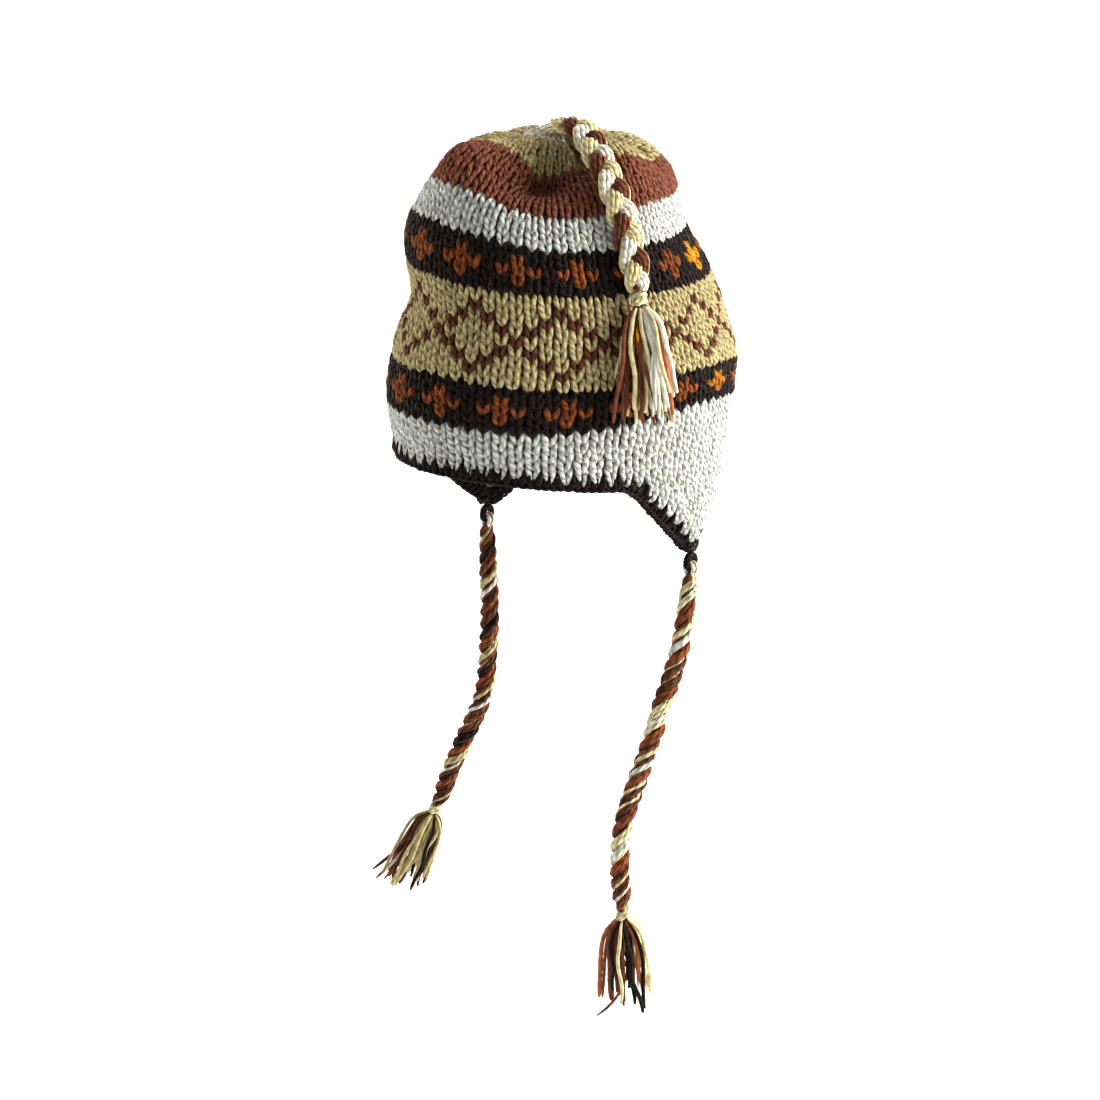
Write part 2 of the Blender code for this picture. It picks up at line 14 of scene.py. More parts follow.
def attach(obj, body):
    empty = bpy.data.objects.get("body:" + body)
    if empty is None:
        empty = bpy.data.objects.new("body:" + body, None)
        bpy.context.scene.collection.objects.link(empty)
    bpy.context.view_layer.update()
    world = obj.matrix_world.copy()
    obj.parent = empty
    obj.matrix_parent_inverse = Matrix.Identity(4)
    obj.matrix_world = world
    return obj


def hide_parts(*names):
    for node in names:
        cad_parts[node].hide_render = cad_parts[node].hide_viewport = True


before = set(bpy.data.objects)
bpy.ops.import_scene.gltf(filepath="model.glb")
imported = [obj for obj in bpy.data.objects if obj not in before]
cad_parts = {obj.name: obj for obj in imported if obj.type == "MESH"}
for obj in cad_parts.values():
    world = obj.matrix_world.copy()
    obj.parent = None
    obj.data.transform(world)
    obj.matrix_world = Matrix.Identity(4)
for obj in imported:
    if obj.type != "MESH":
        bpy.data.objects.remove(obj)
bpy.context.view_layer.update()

TAU = 2 * math.pi

# ---------------------------------------------------------------- camera
AIM_AZIMUTH = math.radians(38)
AIM_RISE = math.radians(16)
CAMERA_REACH = 1.5
FOCAL_PIXELS = 2760.0
FRAME_PIXELS = 1100
ORIGIN_PIXEL = (563.0, 450.0)
SENSOR_WIDTH = 36.0
NEAREST, FARTHEST = 0.05, 30.0


def unit(v):
    """Each vector divided by its own length."""
    return v / np.maximum(np.linalg.norm(v, axis=-1, keepdims=True), 1e-12)


def set_camera():
    """Camera at the photograph's angle: it looks so that the origin falls on ORIGIN_PIXEL."""
    place = CAMERA_REACH * np.array(
        [
            math.sin(AIM_AZIMUTH) * math.cos(AIM_RISE),
            -math.cos(AIM_AZIMUTH) * math.cos(AIM_RISE),
            math.sin(AIM_RISE),
        ]
    )
    right = np.array([math.cos(AIM_AZIMUTH), math.sin(AIM_AZIMUTH), 0.0])
    ahead = unit(-place)
    above = unit(np.cross(right, ahead))
    beside, below = (pixel - FRAME_PIXELS / 2 for pixel in ORIGIN_PIXEL)
    ahead = unit(ahead * FOCAL_PIXELS - right * beside + above * below)
    right = unit(np.cross(ahead, np.array([0.0, 0.0, 1.0])))
    above = np.cross(right, ahead)
    data = bpy.data.cameras.new("photo_camera")
    data.sensor_width = SENSOR_WIDTH
    data.lens = FOCAL_PIXELS / FRAME_PIXELS * data.sensor_width
    data.clip_start = NEAREST
    data.clip_end = FARTHEST
    item = bpy.data.objects.new("photo_camera", data)
    turned = np.stack([right, above, -ahead], 1)
    item.matrix_world = Matrix.Translation(Vector(place)) @ Matrix(turned.tolist()).to_4x4()
    bpy.context.scene.collection.objects.link(item)
    bpy.context.scene.camera = item


set_camera()

# ---------------------------------------------------------------- sizes repeated from the part
HALF_WIDTH = 0.085  # crown at the brow, side to side, halved
HALF_LENGTH = 0.102  # crown at the brow, front to back, halved
CROWN_HEIGHT = 0.1725  # rim to the highest lobe of the gathered top
WALL = 0.005  # thickness of the knitted cloth
FIT_GAP = 0.0003  # clearance between neighbouring pieces
RIM_TILT = 0.15  # rise of the rim for each metre towards the front
EVEN_TURN = 0.045  # spreads equal turns into equal lengths of the oval rim
EDGE_RADIUS = 0.0029  # crocheted edging, half its thickness
EDGE_GAP = 0.0006  # clearance between the edging and the cloth
FLAP_DROP = 0.0445  # mean rim height to the tip of a flap
FLAP_FRONT = 0.190  # corners of a flap, shares of a turn from the middle front
FLAP_BACK = 0.400
FLAP_BULGE = 0.0025  # outward belly of a flap at its mid height
FLAP_END = 0.93  # share of the flap's drop where its blunt tip ends
TIP_OUT = 0.0725  # flap tip: distance from the middle plane, and behind the middle
TIP_BACK = 0.0210
LOOP_RADIUS = 0.0036  # tip loop, centre to the middle of its yarn
LOOP_YARN = 0.0019  # tip loop, half the thickness of its yarn
BRAID_RADIUS = 0.0067  # top plait, half its thickness
TIE_RADIUS = 0.0052  # flap ties, half their thickness
TOP_WRAP = 0.0080  # wound length on the top plait
TIE_WRAP = 0.0060  # wound length on a tie
TOP_TASSEL = 0.058  # lengths of the tassels
TIE_TASSEL = 0.052
PRESS = 0.85  # share of a top lock's lean towards the crown that the crown takes away
PROFILE_STEP = 0.004  # half step, share of the arc, for the profile's slope
POLE_FADE = 0.06  # share of the arc before the pole where the normal turns upright
RIM_SQUARE = 0.05  # share of the arc above the rim where the normal turns from level
EDGE_FRONT_CORNER = 0.012  # share of a turn between a flap's corner and where the rim's edging ends
EDGE_BACK_CORNER = 0.016
TIE_DROP = 0.006  # a tie's straight start below its loop
GATHER_START = 0.66  # arc shares where the gathers begin and are deepest
GATHER_DEEPEST = 0.84

# Crown profile from the rim to the pole: shares of height, half width, half length, and the
# shift of the section's middle to +X and +Y as shares of HALF_WIDTH.
PROFILE_COLUMNS = ("height", "width", "length", "across", "along")
PROFILE = (
    (0.000, 0.960, 0.965, 0.000, -0.030),
    (0.090, 0.985, 0.990, 0.000, -0.025),
    (0.170, 1.000, 1.000, 0.000, -0.010),
    (0.330, 0.990, 0.990, 0.005, 0.010),
    (0.500, 0.920, 0.915, 0.000, 0.005),
    (0.680, 0.840, 0.835, -0.025, -0.025),
    (0.780, 0.785, 0.780, -0.035, -0.040),
    (0.900, 0.680, 0.660, -0.040, -0.040),
    (0.965, 0.540, 0.520, -0.045, -0.035),
    (0.995, 0.370, 0.350, -0.045, -0.035),
    (0.990, 0.210, 0.200, -0.045, -0.035),
    (0.965, 0.085, 0.080, -0.045, -0.035),
    (0.950, 0.000, 0.000, -0.045, -0.035),
)

# Hollows and swells of the soft wall: turn, arc share, half spreads, outward share of HALF_WIDTH.
# The last three are the yarn's alone: they deepen the hollow in the front of the top, and fill
# the lobes above and beside it.
SLUMPS = (
    (0.860, 0.395, 0.110, 0.055, -0.045),
    (0.860, 0.560, 0.120, 0.075, 0.050),
    (0.880, 0.150, 0.140, 0.070, 0.020),
    (0.360, 0.580, 0.120, 0.090, -0.070),
    (0.350, 0.270, 0.110, 0.080, 0.025),
    (0.120, 0.790, 0.050, 0.110, -0.080),
    (0.960, 0.760, 0.055, 0.080, 0.045),
    (0.235, 0.790, 0.045, 0.080, 0.050),
    (0.560, 0.480, 0.080, 0.090, -0.035),
    (0.680, 0.300, 0.090, 0.100, 0.020),
    (0.080, 0.775, 0.062, 0.090, -0.190),
    (0.070, 0.900, 0.070, 0.035, 0.070),
    (0.955, 0.760, 0.045, 0.065, 0.055),
)

# Gathers of the closed top: turn, half width of the fold, depth as a share of HALF_WIDTH. The
# first is half as deep as the part's, because the yarn's own hollow lies over it.
GATHERS = (
    (0.062, 0.017, 0.055),
    (0.178, 0.017, 0.100),
    (0.325, 0.024, 0.075),
    (0.470, 0.022, 0.085),
    (0.610, 0.024, 0.080),
    (0.745, 0.022, 0.085),
    (0.872, 0.020, 0.070),
)

# Middle lines of the top plait, and of the two ties below their straight starts.
TOP_ROUTE = (
    (-0.0064, -0.0029, 0.1708),
    (-0.0020, -0.0045, 0.1755),
    (0.0075, -0.0090, 0.1785),
    (0.0185, -0.0132, 0.1797),
    (0.0280, -0.0178, 0.1780),
    (0.0375, -0.0232, 0.1730),
    (0.0463, -0.0282, 0.1665),
    (0.0588, -0.0330, 0.1537),
    (0.0653, -0.0333, 0.1394),
    (0.0702, -0.0334, 0.1249),
    (0.0743, -0.0341, 0.1111),
    (0.0757, -0.0353, 0.1053),
)
LEFT_ROUTE = (
    (0.0715, 0.0170, -0.0770),
    (0.0715, 0.0152, -0.0890),
    (0.0715, 0.0118, -0.1010),
    (0.0715, 0.0045, -0.1165),
    (0.0715, -0.0045, -0.1310),
    (0.0715, -0.0148, -0.1498),
    (0.0715, -0.0270, -0.1679),
    (0.0715, -0.0360, -0.1836),
    (0.0715, -0.0398, -0.1950),
    (0.0715, -0.0412, -0.2100),
    (0.0715, -0.0403, -0.2240),
    (0.0715, -0.0388, -0.2380),
)
RIGHT_ROUTE = (
    (-0.0703, 0.0202, -0.0825),
    (-0.0698, 0.0205, -0.1007),
    (-0.0697, 0.0206, -0.1226),
    (-0.0706, 0.0200, -0.1381),
    (-0.0718, 0.0194, -0.1536),
    (-0.0740, 0.0180, -0.1680),
    (-0.0777, 0.0159, -0.1790),
    (-0.0823, 0.0133, -0.1908),
    (-0.0865, 0.0109, -0.2028),
    (-0.0908, 0.0084, -0.2152),
    (-0.0956, 0.0056, -0.2308),
    (-0.0978, 0.0044, -0.2360),
)

# ---------------------------------------------------------------- the part's curved surfaces


def smooth(x, xs, ys):
    """Smooth curve through the points (xs, ys): on each span a cubic whose end slopes are the
    slopes between the neighbouring points."""
    x = np.clip(np.asarray(x, float), xs[0], xs[-1])
    slope = np.gradient(ys, xs)
    i = np.clip(np.searchsorted(xs, x, side="right") - 1, 0, len(xs) - 2)
    span = xs[i + 1] - xs[i]
    t = (x - xs[i]) / span
    return (
        (2 * t**3 - 3 * t**2 + 1) * ys[i]
        + (t**3 - 2 * t**2 + t) * span * slope[i]
        + (3 * t**2 - 2 * t**3) * ys[i + 1]
        + (t**3 - t**2) * span * slope[i + 1]
    )


SECTION = {name: np.array([row[k] for row in PROFILE]) for k, name in enumerate(PROFILE_COLUMNS)}
PROFILE_STEPS = np.hypot(
    np.diff(SECTION["width"] * HALF_WIDTH), np.diff(SECTION["height"] * CROWN_HEIGHT)
)
PROFILE_LENGTH = np.concatenate(([0.0], np.cumsum(PROFILE_STEPS)))
ARC = PROFILE_LENGTH / PROFILE_LENGTH[-1]


def apart(turn, centre):
    """Signed distance between turns, -0.5 to 0.5."""
    return (turn - centre + 0.5) % 1.0 - 0.5


def swell(turn, up):
    """Outward swell: the sum of round bells, one for each row of SLUMPS."""
    total = np.zeros(np.broadcast(turn, up).shape)
    for centre, height, wide, rise, out in SLUMPS:
        bell = np.exp(-((apart(turn, centre) / wide) ** 2) - ((up - height) / rise) ** 2)
        total = total + out * HALF_WIDTH * bell
    return total


def gather(turn, up):
    """Depth of the top's gathers: a bell across each fold, faded in below GATHER_DEEPEST and out
    towards the pole."""
    rising = np.clip((up - GATHER_START) / (GATHER_DEEPEST - GATHER_START), 0, 1)
    falling = np.clip((1 - up) / (1 - GATHER_DEEPEST), 0, 1)
    ramp = np.sin(rising * math.pi / 2) ** 2 * np.sin(falling * math.pi / 2)
    total = np.zeros(np.broadcast(turn, up).shape)
    for centre, wide, depth in GATHERS:
        total = total + depth * HALF_WIDTH * np.exp(-((apart(turn, centre) / wide) ** 2))
    return total * ramp


FOLD = 1.3  # depth of the gathers in the cloth behind the stitches, as a share of the part's
PLAIN_FOLD = 1.0  # the same in the stitches, and on the hat's inner face
POLE_LIFT = 0.0105  # the drawn-together middle of the top stands this far above the part's dimple
LIFT_START = 0.905  # arc share where the lift begins, and the share of the arc that it takes
LIFT_SPAN = 0.075
LEAST_OUT = -0.2  # the profile's normal leans no further inwards than this


def crown_point(turn, up, out, fold=FOLD):
    """Point of the crown at a turn and an arc share: an oval section round its own middle, moved
    along the profile's normal by out, the swells and the gathers, and tilted at the rim. Below
    the rim (up under 0) it goes straight down; towards the pole it is lifted by a smooth step."""
    turn = np.asarray(turn, float)
    below = np.minimum(np.asarray(up, float), 0.0) * PROFILE_LENGTH[-1]
    up = np.clip(np.asarray(up, float), 0.0, 1.0)
    angle = TAU * turn
    angle = angle + EVEN_TURN * np.sin(2 * angle)
    wide = smooth(up, ARC, SECTION["width"]) * HALF_WIDTH
    long = smooth(up, ARC, SECTION["length"]) * HALF_LENGTH
    low = np.clip(up - PROFILE_STEP, 0, 1)
    high = np.clip(up + PROFILE_STEP, 0, 1)
    drop = (smooth(low, ARC, SECTION["width"]) - smooth(high, ARC, SECTION["width"])) * HALF_WIDTH
    rise = smooth(high, ARC, SECTION["height"]) - smooth(low, ARC, SECTION["height"])
    rise = rise * CROWN_HEIGHT
    size = np.hypot(drop, rise)
    normal_out = np.maximum(rise / size, LEAST_OUT) * np.clip((1 - up) / POLE_FADE, 0, 1)
    normal_up = drop / size * np.clip(up / RIM_SQUARE, 0, 1)
    move = out + swell(turn, up) - fold * gather(turn, up)
    mid_y = smooth(up, ARC, SECTION["along"]) * HALF_WIDTH
    x = (wide + move * normal_out) * np.sin(angle) + smooth(up, ARC, SECTION["across"]) * HALF_WIDTH
    y = mid_y - (long + move * normal_out) * np.cos(angle)
    z = smooth(up, ARC, SECTION["height"]) * CROWN_HEIGHT + move * normal_up + below
    z = z - RIM_TILT * (mid_y - long * np.cos(angle)) * (1 - up) ** 2
    lift = np.clip((up - LIFT_START) / LIFT_SPAN, 0, 1)
    z = z + POLE_LIFT * lift**2 * (3 - 2 * lift)
    return np.stack([x, y, z], -1)


def flap_point(side, across, down, out):
    """Point of a flap: straight lines from the rim to the tip, moved outwards by out and by a
    belly of FLAP_BULGE 4 d (1 - d), where d is the share of the way down."""
    across = np.asarray(across, float)
    down = np.asarray(down, float)[..., None]
    out = np.asarray(out, float)
    turn = (FLAP_FRONT + FLAP_BACK) / 2 + across * (FLAP_BACK - FLAP_FRONT) / 2
    bottom = np.zeros_like(turn)
    rim = crown_point(turn, bottom, 0.0)
    outward = (crown_point(turn, bottom, 1.0) - rim) * np.array([1.0, 1.0, 0.0])
    tip = np.array([TIP_OUT, TIP_BACK, -FLAP_DROP])
    point = rim * (1 - down) + tip * down
    point = point + outward * (out[..., None] + FLAP_BULGE * 4 * down * (1 - down))
    point = point - np.array([0.0, 0.0, FIT_GAP])
    return point * np.array([side, 1.0, 1.0])


ROUTE_FINENESS = 20  # steps along a curve for each point that is kept of it


def run_along(line):
    """Distance from a line's first point to each of its points."""
    return np.concatenate(([0.0], np.cumsum(np.linalg.norm(np.diff(line, axis=0), axis=1))))


def through(route, count, closed=False):
    """count points at equal lengths along a smooth curve through the route's points."""
    route = np.asarray(route, float)
    if closed:
        route = np.concatenate([route[-3:], route, route[:4]])
    at = run_along(route)
    start = at[3] if closed else 0.0
    end = at[len(route) - 4] if closed else at[-1]
    fine = np.linspace(start, end, ROUTE_FINENESS * count + 1)
    curve = np.stack([smooth(fine, at, route[:, k]) for k in range(3)], -1)
    length = run_along(curve)
    stops = np.linspace(0, length[-1], count, endpoint=not closed)
    return np.stack([np.interp(stops, length, curve[:, k]) for k in range(3)], -1)


FRONT_POINTS = 15  # points of the edging's route along the front rim, and along the back rim
BACK_POINTS = 9
FLAP_EDGE_SHARES = np.array([0.12, 0.30, 0.48, 0.66, 0.81, FLAP_END])
INWARD = 0.96  # a line just inside a flap's edge
DOWNWARD = 0.01  # a step down a flap's edge


def edge_route():
    """Middle line of the edging: below the rim at the front and back, and beside each flap."""
    off = EDGE_RADIUS + EDGE_GAP
    middle = -WALL / 2
    down = np.array([0.0, 0.0, -off])
    ahead = FLAP_FRONT - EDGE_FRONT_CORNER
    behind = FLAP_BACK + EDGE_BACK_CORNER
    front = np.linspace(-ahead, ahead, FRONT_POINTS)
    back = np.linspace(behind, 1 - behind, BACK_POINTS)
    shares = FLAP_EDGE_SHARES
    sides = {}
    for side in (1, -1):
        lines = []
        for edge in (-1.0, 1.0):
            line = flap_point(side, np.full(len(shares), edge), shares, middle)
            inner = flap_point(side, np.full(len(shares), edge * INWARD), shares, middle)
            lower = flap_point(side, np.full(len(shares), edge), shares + DOWNWARD, middle)
            along = unit(lower - line)
            away = line - inner
            away = unit(away - along * np.sum(away * along, axis=1)[:, None])
            lines.append(line + away * off)
        ends = flap_point(side, np.array([-1.0, 0.0, 1.0]), np.full(3, FLAP_END), middle) + down
        sides[side] = (lines[0], ends, lines[1])
    rim = crown_point(front, np.zeros_like(front), middle) + down
    nape = crown_point(back, np.zeros_like(back), middle) + down
    left = sides[1]
    right = sides[-1]
    return np.concatenate(
        [rim, left[0], left[1], left[2][::-1], nape, right[2], right[1][::-1], right[0][::-1]]
    )


def loop_centre(side):
    """Middle of a tip loop, just below the edging at the flap's tip."""
    tip = flap_point(side, np.array(0.0), np.array(FLAP_END), -WALL / 2)
    return tip - np.array([0.0, 0.0, 2 * (EDGE_RADIUS + EDGE_GAP) + LOOP_RADIUS + LOOP_YARN])


def tie_route(side, rest):
    """A tie's route: from just below its tip loop, straight down, then its own points."""
    start = loop_centre(side) - np.array([0.0, 0.0, LOOP_RADIUS + LOOP_YARN + FIT_GAP])
    return np.concatenate([start[None, :], (start - [0.0, 0.0, TIE_DROP])[None, :], np.array(rest)])


# ---------------------------------------------------------------- dyes


def linear(red, green, blue):
    """Linear light of a display colour given as 0 to 255."""
    c = np.array([red, green, blue]) / 255.0
    return np.where(c <= 0.04045, c / 12.92, ((c + 0.055) / 1.055) ** 2.4)


DYES = {
    "white": linear(208, 208, 199),
    "khaki": linear(190, 173, 126),
    "dark": linear(34, 21, 15),
    "rust": linear(136, 82, 60),
    "orange": linear(146, 80, 34),
    # gold: the yarn of a curl in the top tassel, and also a lit copy of the orange yarn, painted
    # highlight, for one star
    "gold": linear(226, 156, 26),
    "cream": linear(226, 213, 166),
    "brown": linear(96, 56, 36),
    "pale": linear(226, 222, 206),
    # painted highlight: a lit copy of the orange yarn, for one star on the lit side
    "painted_lit_orange": linear(192, 120, 34),
    "russet": linear(138, 76, 42),
    "copper": linear(182, 112, 72),
    "walnut": linear(120, 72, 46),
    "chestnut": linear(100, 58, 38),
}

# ---------------------------------------------------------------- yarn meshes


def corner_uvs(*corners):
    """UVs of faces in one list, from the u and v of each corner in turn."""
    values = np.broadcast_arrays(*(value for corner in corners for value in corner))
    return np.stack(values, -1).reshape(-1, 2)


END_REACH = 0.7  # a strand's end point beyond its last ring, as a share of its half width
END_LAP = 0.1  # the same on the UV map


class Skein:
    """Strands that become one mesh. A strand is a tube: at each station of its path a ring of
    points, centre + half width * cos(a) * across + half depth * sin(a) * deep, and a point that
    closes each end. across x deep runs along the path, so faces point outwards."""

    def __init__(self):
        self.points, self.corners, self.sizes, self.uvs, self.dyes = [], [], [], [], []
        self.count = 0

    def add(self, centre, across, deep, half_width, half_depth, dye, sides=6, pitch=0.0080,
            start=None, closed=False):
        """Strands at once, as arrays of strands by stations. The UV map runs round a strand in u
        and in pitches along it in v. A closed strand joins its last ring to its first."""
        strands, stations = centre.shape[:2]
        angle = np.arange(sides) * TAU / sides
        ring = centre[:, :, None] + across[:, :, None] * (
            half_width[:, :, None, None] * np.cos(angle)[:, None]
        )
        ring = ring + deep[:, :, None] * (half_depth[:, :, None, None] * np.sin(angle)[:, None])
        step = np.linalg.norm(np.diff(centre, axis=1), axis=-1)
        run = np.concatenate([np.zeros((strands, 1)), np.cumsum(step, 1)], 1) / pitch
        if start is not None:
            run = run + start[:, None]
        dye = np.broadcast_to(dye if dye.ndim == 3 else dye[:, None, :], (strands, stations, 3))
        dye_ring = np.repeat(dye[:, :, None, :], sides, 2)
        along = np.cross(across, deep)
        block = stations * sides
        per = block if closed else block + 2
        base = self.count + np.arange(strands)[:, None, None] * per
        last = stations if closed else stations - 1
        r = np.arange(last)[None, :, None]
        c = np.arange(sides)[None, None, :]
        n = (c + 1) % sides
        near, far = base + r * sides, base + (r + 1) % stations * sides
        quads = np.stack([near + c, near + n, far + n, far + c], -1)
        tail = run[:, -1:] + step.mean() / pitch
        ends = np.concatenate([run, tail], 1)[:, :, None]
        u1, u2 = c / sides, (c + 1) / sides
        v1, v2 = ends[:, :last], ends[:, 1 : last + 1]
        body = ring.reshape(strands, block, 3)
        tint = dye_ring.reshape(strands, block, 3)
        self.corners.append(quads.reshape(-1))
        self.sizes.append(np.full(quads.size // 4, 4))
        self.uvs.append(corner_uvs((u1, v1), (u2, v1), (u2, v2), (u1, v2)))
        if not closed:
            self.end_faces(base[:, :, 0], block, sides, run[:, :1], run[:, -1:])
            head = centre[:, :1] - along[:, :1] * half_width[:, :1, None] * END_REACH
            foot = centre[:, -1:] + along[:, -1:] * half_width[:, -1:, None] * END_REACH
            body = np.concatenate([body, head, foot], 1)
            tint = np.concatenate([tint, dye[:, :1], dye[:, -1:]], 1)
        self.points.append(body.reshape(-1, 3))
        self.dyes.append(tint.reshape(-1, 3))
        self.count += strands * per

    def end_faces(self, first, block, sides, head_v, foot_v):
        """Triangles from the two end points of each open strand to its first and last ring. A
        strand's points are its rings, block points from first on, and then its end points."""
        c = np.arange(sides)[None, :]
        n = (c + 1) % sides
        head = np.broadcast_to(first + block, (len(first), sides))
        ring = first + block - sides
        u, middle, ahead = c / sides, (c + 0.5) / sides, (c + 1) / sides
        self.corners += [
            np.stack([head, first + n, first + c], -1).reshape(-1),
            np.stack([head + 1, ring + c, ring + n], -1).reshape(-1),
        ]
        self.sizes.append(np.full(2 * head.size, 3))
        self.uvs += [
            corner_uvs((middle, head_v - END_LAP), (ahead, head_v), (u, head_v)),
            corner_uvs((middle, foot_v + END_LAP), (u, foot_v), (ahead, foot_v)),
        ]

    def mesh(self, name, finish):
        """All strands so far as one object."""
        lists = (self.points, self.corners, self.sizes, self.uvs, self.dyes)
        return put_mesh(name, *(np.concatenate(part) for part in lists), finish)


def put_mesh(name, points, corners, sizes, uvs, dyes, finish):
    """Links a smooth mesh from flat arrays: points, face corners, face sizes, a UV for each
    corner and a dye for each point."""
    mesh = bpy.data.meshes.new(name)
    mesh.vertices.add(len(points))
    mesh.vertices.foreach_set("co", points.astype(np.float32).ravel())
    mesh.loops.add(len(corners))
    mesh.loops.foreach_set("vertex_index", corners.astype(np.int32))
    mesh.polygons.add(len(sizes))
    starts = np.concatenate(([0], np.cumsum(sizes)[:-1]))
    mesh.polygons.foreach_set("loop_start", starts.astype(np.int32))
    mesh.polygons.foreach_set("loop_total", sizes.astype(np.int32))
    mesh.polygons.foreach_set("use_smooth", np.ones(len(sizes), bool))
    mesh.uv_layers.new(name="yarn").data.foreach_set("uv", uvs.astype(np.float32).ravel())
    dye = mesh.color_attributes.new("dye", "FLOAT_COLOR", "POINT")
    tint = np.concatenate([np.clip(dyes, 0, 1), np.ones((len(dyes), 1))], 1)
    dye.data.foreach_set("color", tint.astype(np.float32).ravel())
    mesh.update(calc_edges=True)
    mesh.validate()
    item = bpy.data.objects.new(name, mesh)
    bpy.context.scene.collection.objects.link(item)
    mesh.materials.append(finish)
    return item


def strand_axes(centre, helper):
    """Cross directions of strands: across is helper x tangent and deep is tangent x across."""
    along = unit(np.gradient(centre, axis=1))
    across = unit(np.cross(np.broadcast_to(helper, centre.shape), along))
    return across, np.cross(along, across)


# ---------------------------------------------------------------- finishes


class Wire:
    """One value in a material. Arithmetic on it adds a Math node for each operation."""

    def __init__(self, bench, socket):
        self.bench, self.socket = bench, socket

    def maths(self, kind, first, second=0.0, third=0.0):
        inputs = {0: first, 1: second, 2: third}
        return self.bench.add("ShaderNodeMath", {"operation": kind}, inputs)

    def __add__(self, other):
        return self.maths("ADD", self, other)

    __radd__ = __add__

    def __sub__(self, other):
        return self.maths("SUBTRACT", self, other)

    def __rsub__(self, other):
        return self.maths("SUBTRACT", other, self)

    def __mul__(self, other):
        return self.maths("MULTIPLY", self, other)

    __rmul__ = __mul__

    def sine(self):
        return self.maths("SINE", self)

    def power(self, other):
        return self.maths("POWER", self, other)

    def clamp(self):
        return self.bench.add("ShaderNodeClamp", {}, {0: self})


class Bench:
    """The node tree of a material or a world, with one method that adds any node."""

    def __init__(self, name, kind="materials", shader="Principled BSDF"):
        self.material = getattr(bpy.data, kind).new(name)
        self.material.use_nodes = True
        self.tree = self.material.node_tree
        self.shader = self.tree.nodes[shader]

    def add(self, kind, settings, sockets, out=0):
        """One node of a type, its settings first, then its sockets' values or links."""
        node = self.tree.nodes.new(kind)
        for key, value in settings.items():
            setattr(node, key, value)
        self.feed(node, sockets)
        return Wire(self, node.outputs[out])

    def feed(self, node, sockets):
        """Links a wire to a socket, or sets the socket's own value."""
        for key, value in sockets.items():
            if isinstance(value, Wire):
                self.tree.links.new(value.socket, node.inputs[key])
            else:
                node.inputs[key].default_value = value

    def parts(self, vector):
        """The three numbers of a vector."""
        node = self.tree.nodes.new("ShaderNodeSeparateXYZ")
        self.tree.links.new(vector.socket, node.inputs[0])
        return [Wire(self, socket) for socket in node.outputs]

    def noise(self, vector, scale, detail=2.0, rough=0.5):
        """Soft noise, 0 to 1."""
        sockets = {"Vector": vector, "Scale": scale, "Detail": detail, "Roughness": rough}
        return self.add("ShaderNodeTexNoise", {}, sockets)

    def blend(self, share, first, second, kind="MIX"):
        """Two colours mixed by a share, or multiplied."""
        return self.add(
            "ShaderNodeMix",
            {"data_type": "RGBA", "blend_type": kind},
            {0: share, 6: first, 7: second},
            out=2,
        )


PALE_FIBRE = (0.80, 0.77, 0.68, 1.0)
HAIR_GRAIN = 2.4  # noise scales: hairs in UVs; flecks and clouds in metres
FLECK_GRAIN = 420.0
CLOUD_GRAIN = 55.0
HAIR_STRETCH = (9.0, 2.2, 1.6)  # hair noise round the yarn, its slant along it, and along it
HAIR_LEVEL = 0.52  # hairs above this level of their noise are pale
GROOVE_BEND = 0.6  # power that makes the grooves between plies narrow
CLOUD_SHADE = 0.28  # how far clouds and flecks lighten and darken the dye, in all
FLECK_SHADE = 0.40
GROOVE_RISE, FLUFF_RISE, FLECK_RISE = 0.75, 0.35, 0.25  # their shares of the bump
BUMP_STRENGTH = 0.75


def wool(name, ply=2, painted_groove_shade=0.46, fleck=0.28, fluff=0.26, bump=0.0011):
    """Plied wool. The groove between plies is sin(2 pi ply (u + v)); hairs are stretched noise
    along the yarn; flecks and clouds are fine and soft noise in space. The groove darkens the dye
    as painted shade; hairs, flecks and clouds vary its tone, by shares that painted_groove_shade
    and fleck set, and lift a bump; fluff is the share of pale hairs."""
    bench = Bench(name)
    place = bench.add("ShaderNodeTexCoord", {}, {}, out=3)
    yarn = bench.add("ShaderNodeUVMap", {"uv_map": "yarn"}, {})
    dye = bench.add("ShaderNodeAttribute", {"attribute_name": "dye"}, {})
    u, v, _ = bench.parts(yarn)
    twist = ((u + v) * (TAU * ply)).sine() * 0.5 + 0.5
    round_it, slant, along = HAIR_STRETCH
    hair_place = {0: u * round_it + v * slant, 1: v * along, 2: 0.0}
    hair_at = bench.add("ShaderNodeCombineXYZ", {}, hair_place)
    hairs = bench.noise(hair_at, HAIR_GRAIN, 3.0, 0.62)
    flecks = bench.noise(place, FLECK_GRAIN, 3.0, 0.6)
    clouds = bench.noise(place, CLOUD_GRAIN, 2.0, 0.5)
    groove = twist.power(GROOVE_BEND)
    # painted shade: the dye is darker in the groove between plies
    shade = 1.0 - painted_groove_shade * (1.0 - groove)
    shade = shade * (1.0 - fleck + hairs * (2 * fleck))
    shade = shade * (1.0 - CLOUD_SHADE / 2 + clouds * CLOUD_SHADE)
    shade = shade * (1.0 - FLECK_SHADE / 2 + flecks * FLECK_SHADE)
    tint = bench.add("ShaderNodeCombineColor", {}, {0: shade, 1: shade, 2: shade})
    colour = bench.blend(1.0, dye, tint, "MULTIPLY")
    pale = bench.blend((hairs - HAIR_LEVEL).clamp() * fluff, colour, PALE_FIBRE)
    height = groove * GROOVE_RISE + hairs * FLUFF_RISE + flecks * FLECK_RISE
    normal = bench.add(
        "ShaderNodeBump", {}, {"Strength": BUMP_STRENGTH, "Distance": bump, "Height": height}
    )
    bench.feed(
        bench.shader,
        {
            "Base Color": pale,
            "Roughness": 0.78 + hairs * 0.2,
            "Normal": normal,
            "Sheen Weight": 0.05,
            "Sheen Roughness": 0.45,
            "Specular IOR Level": 0.15,
        },
    )
    return bench.material


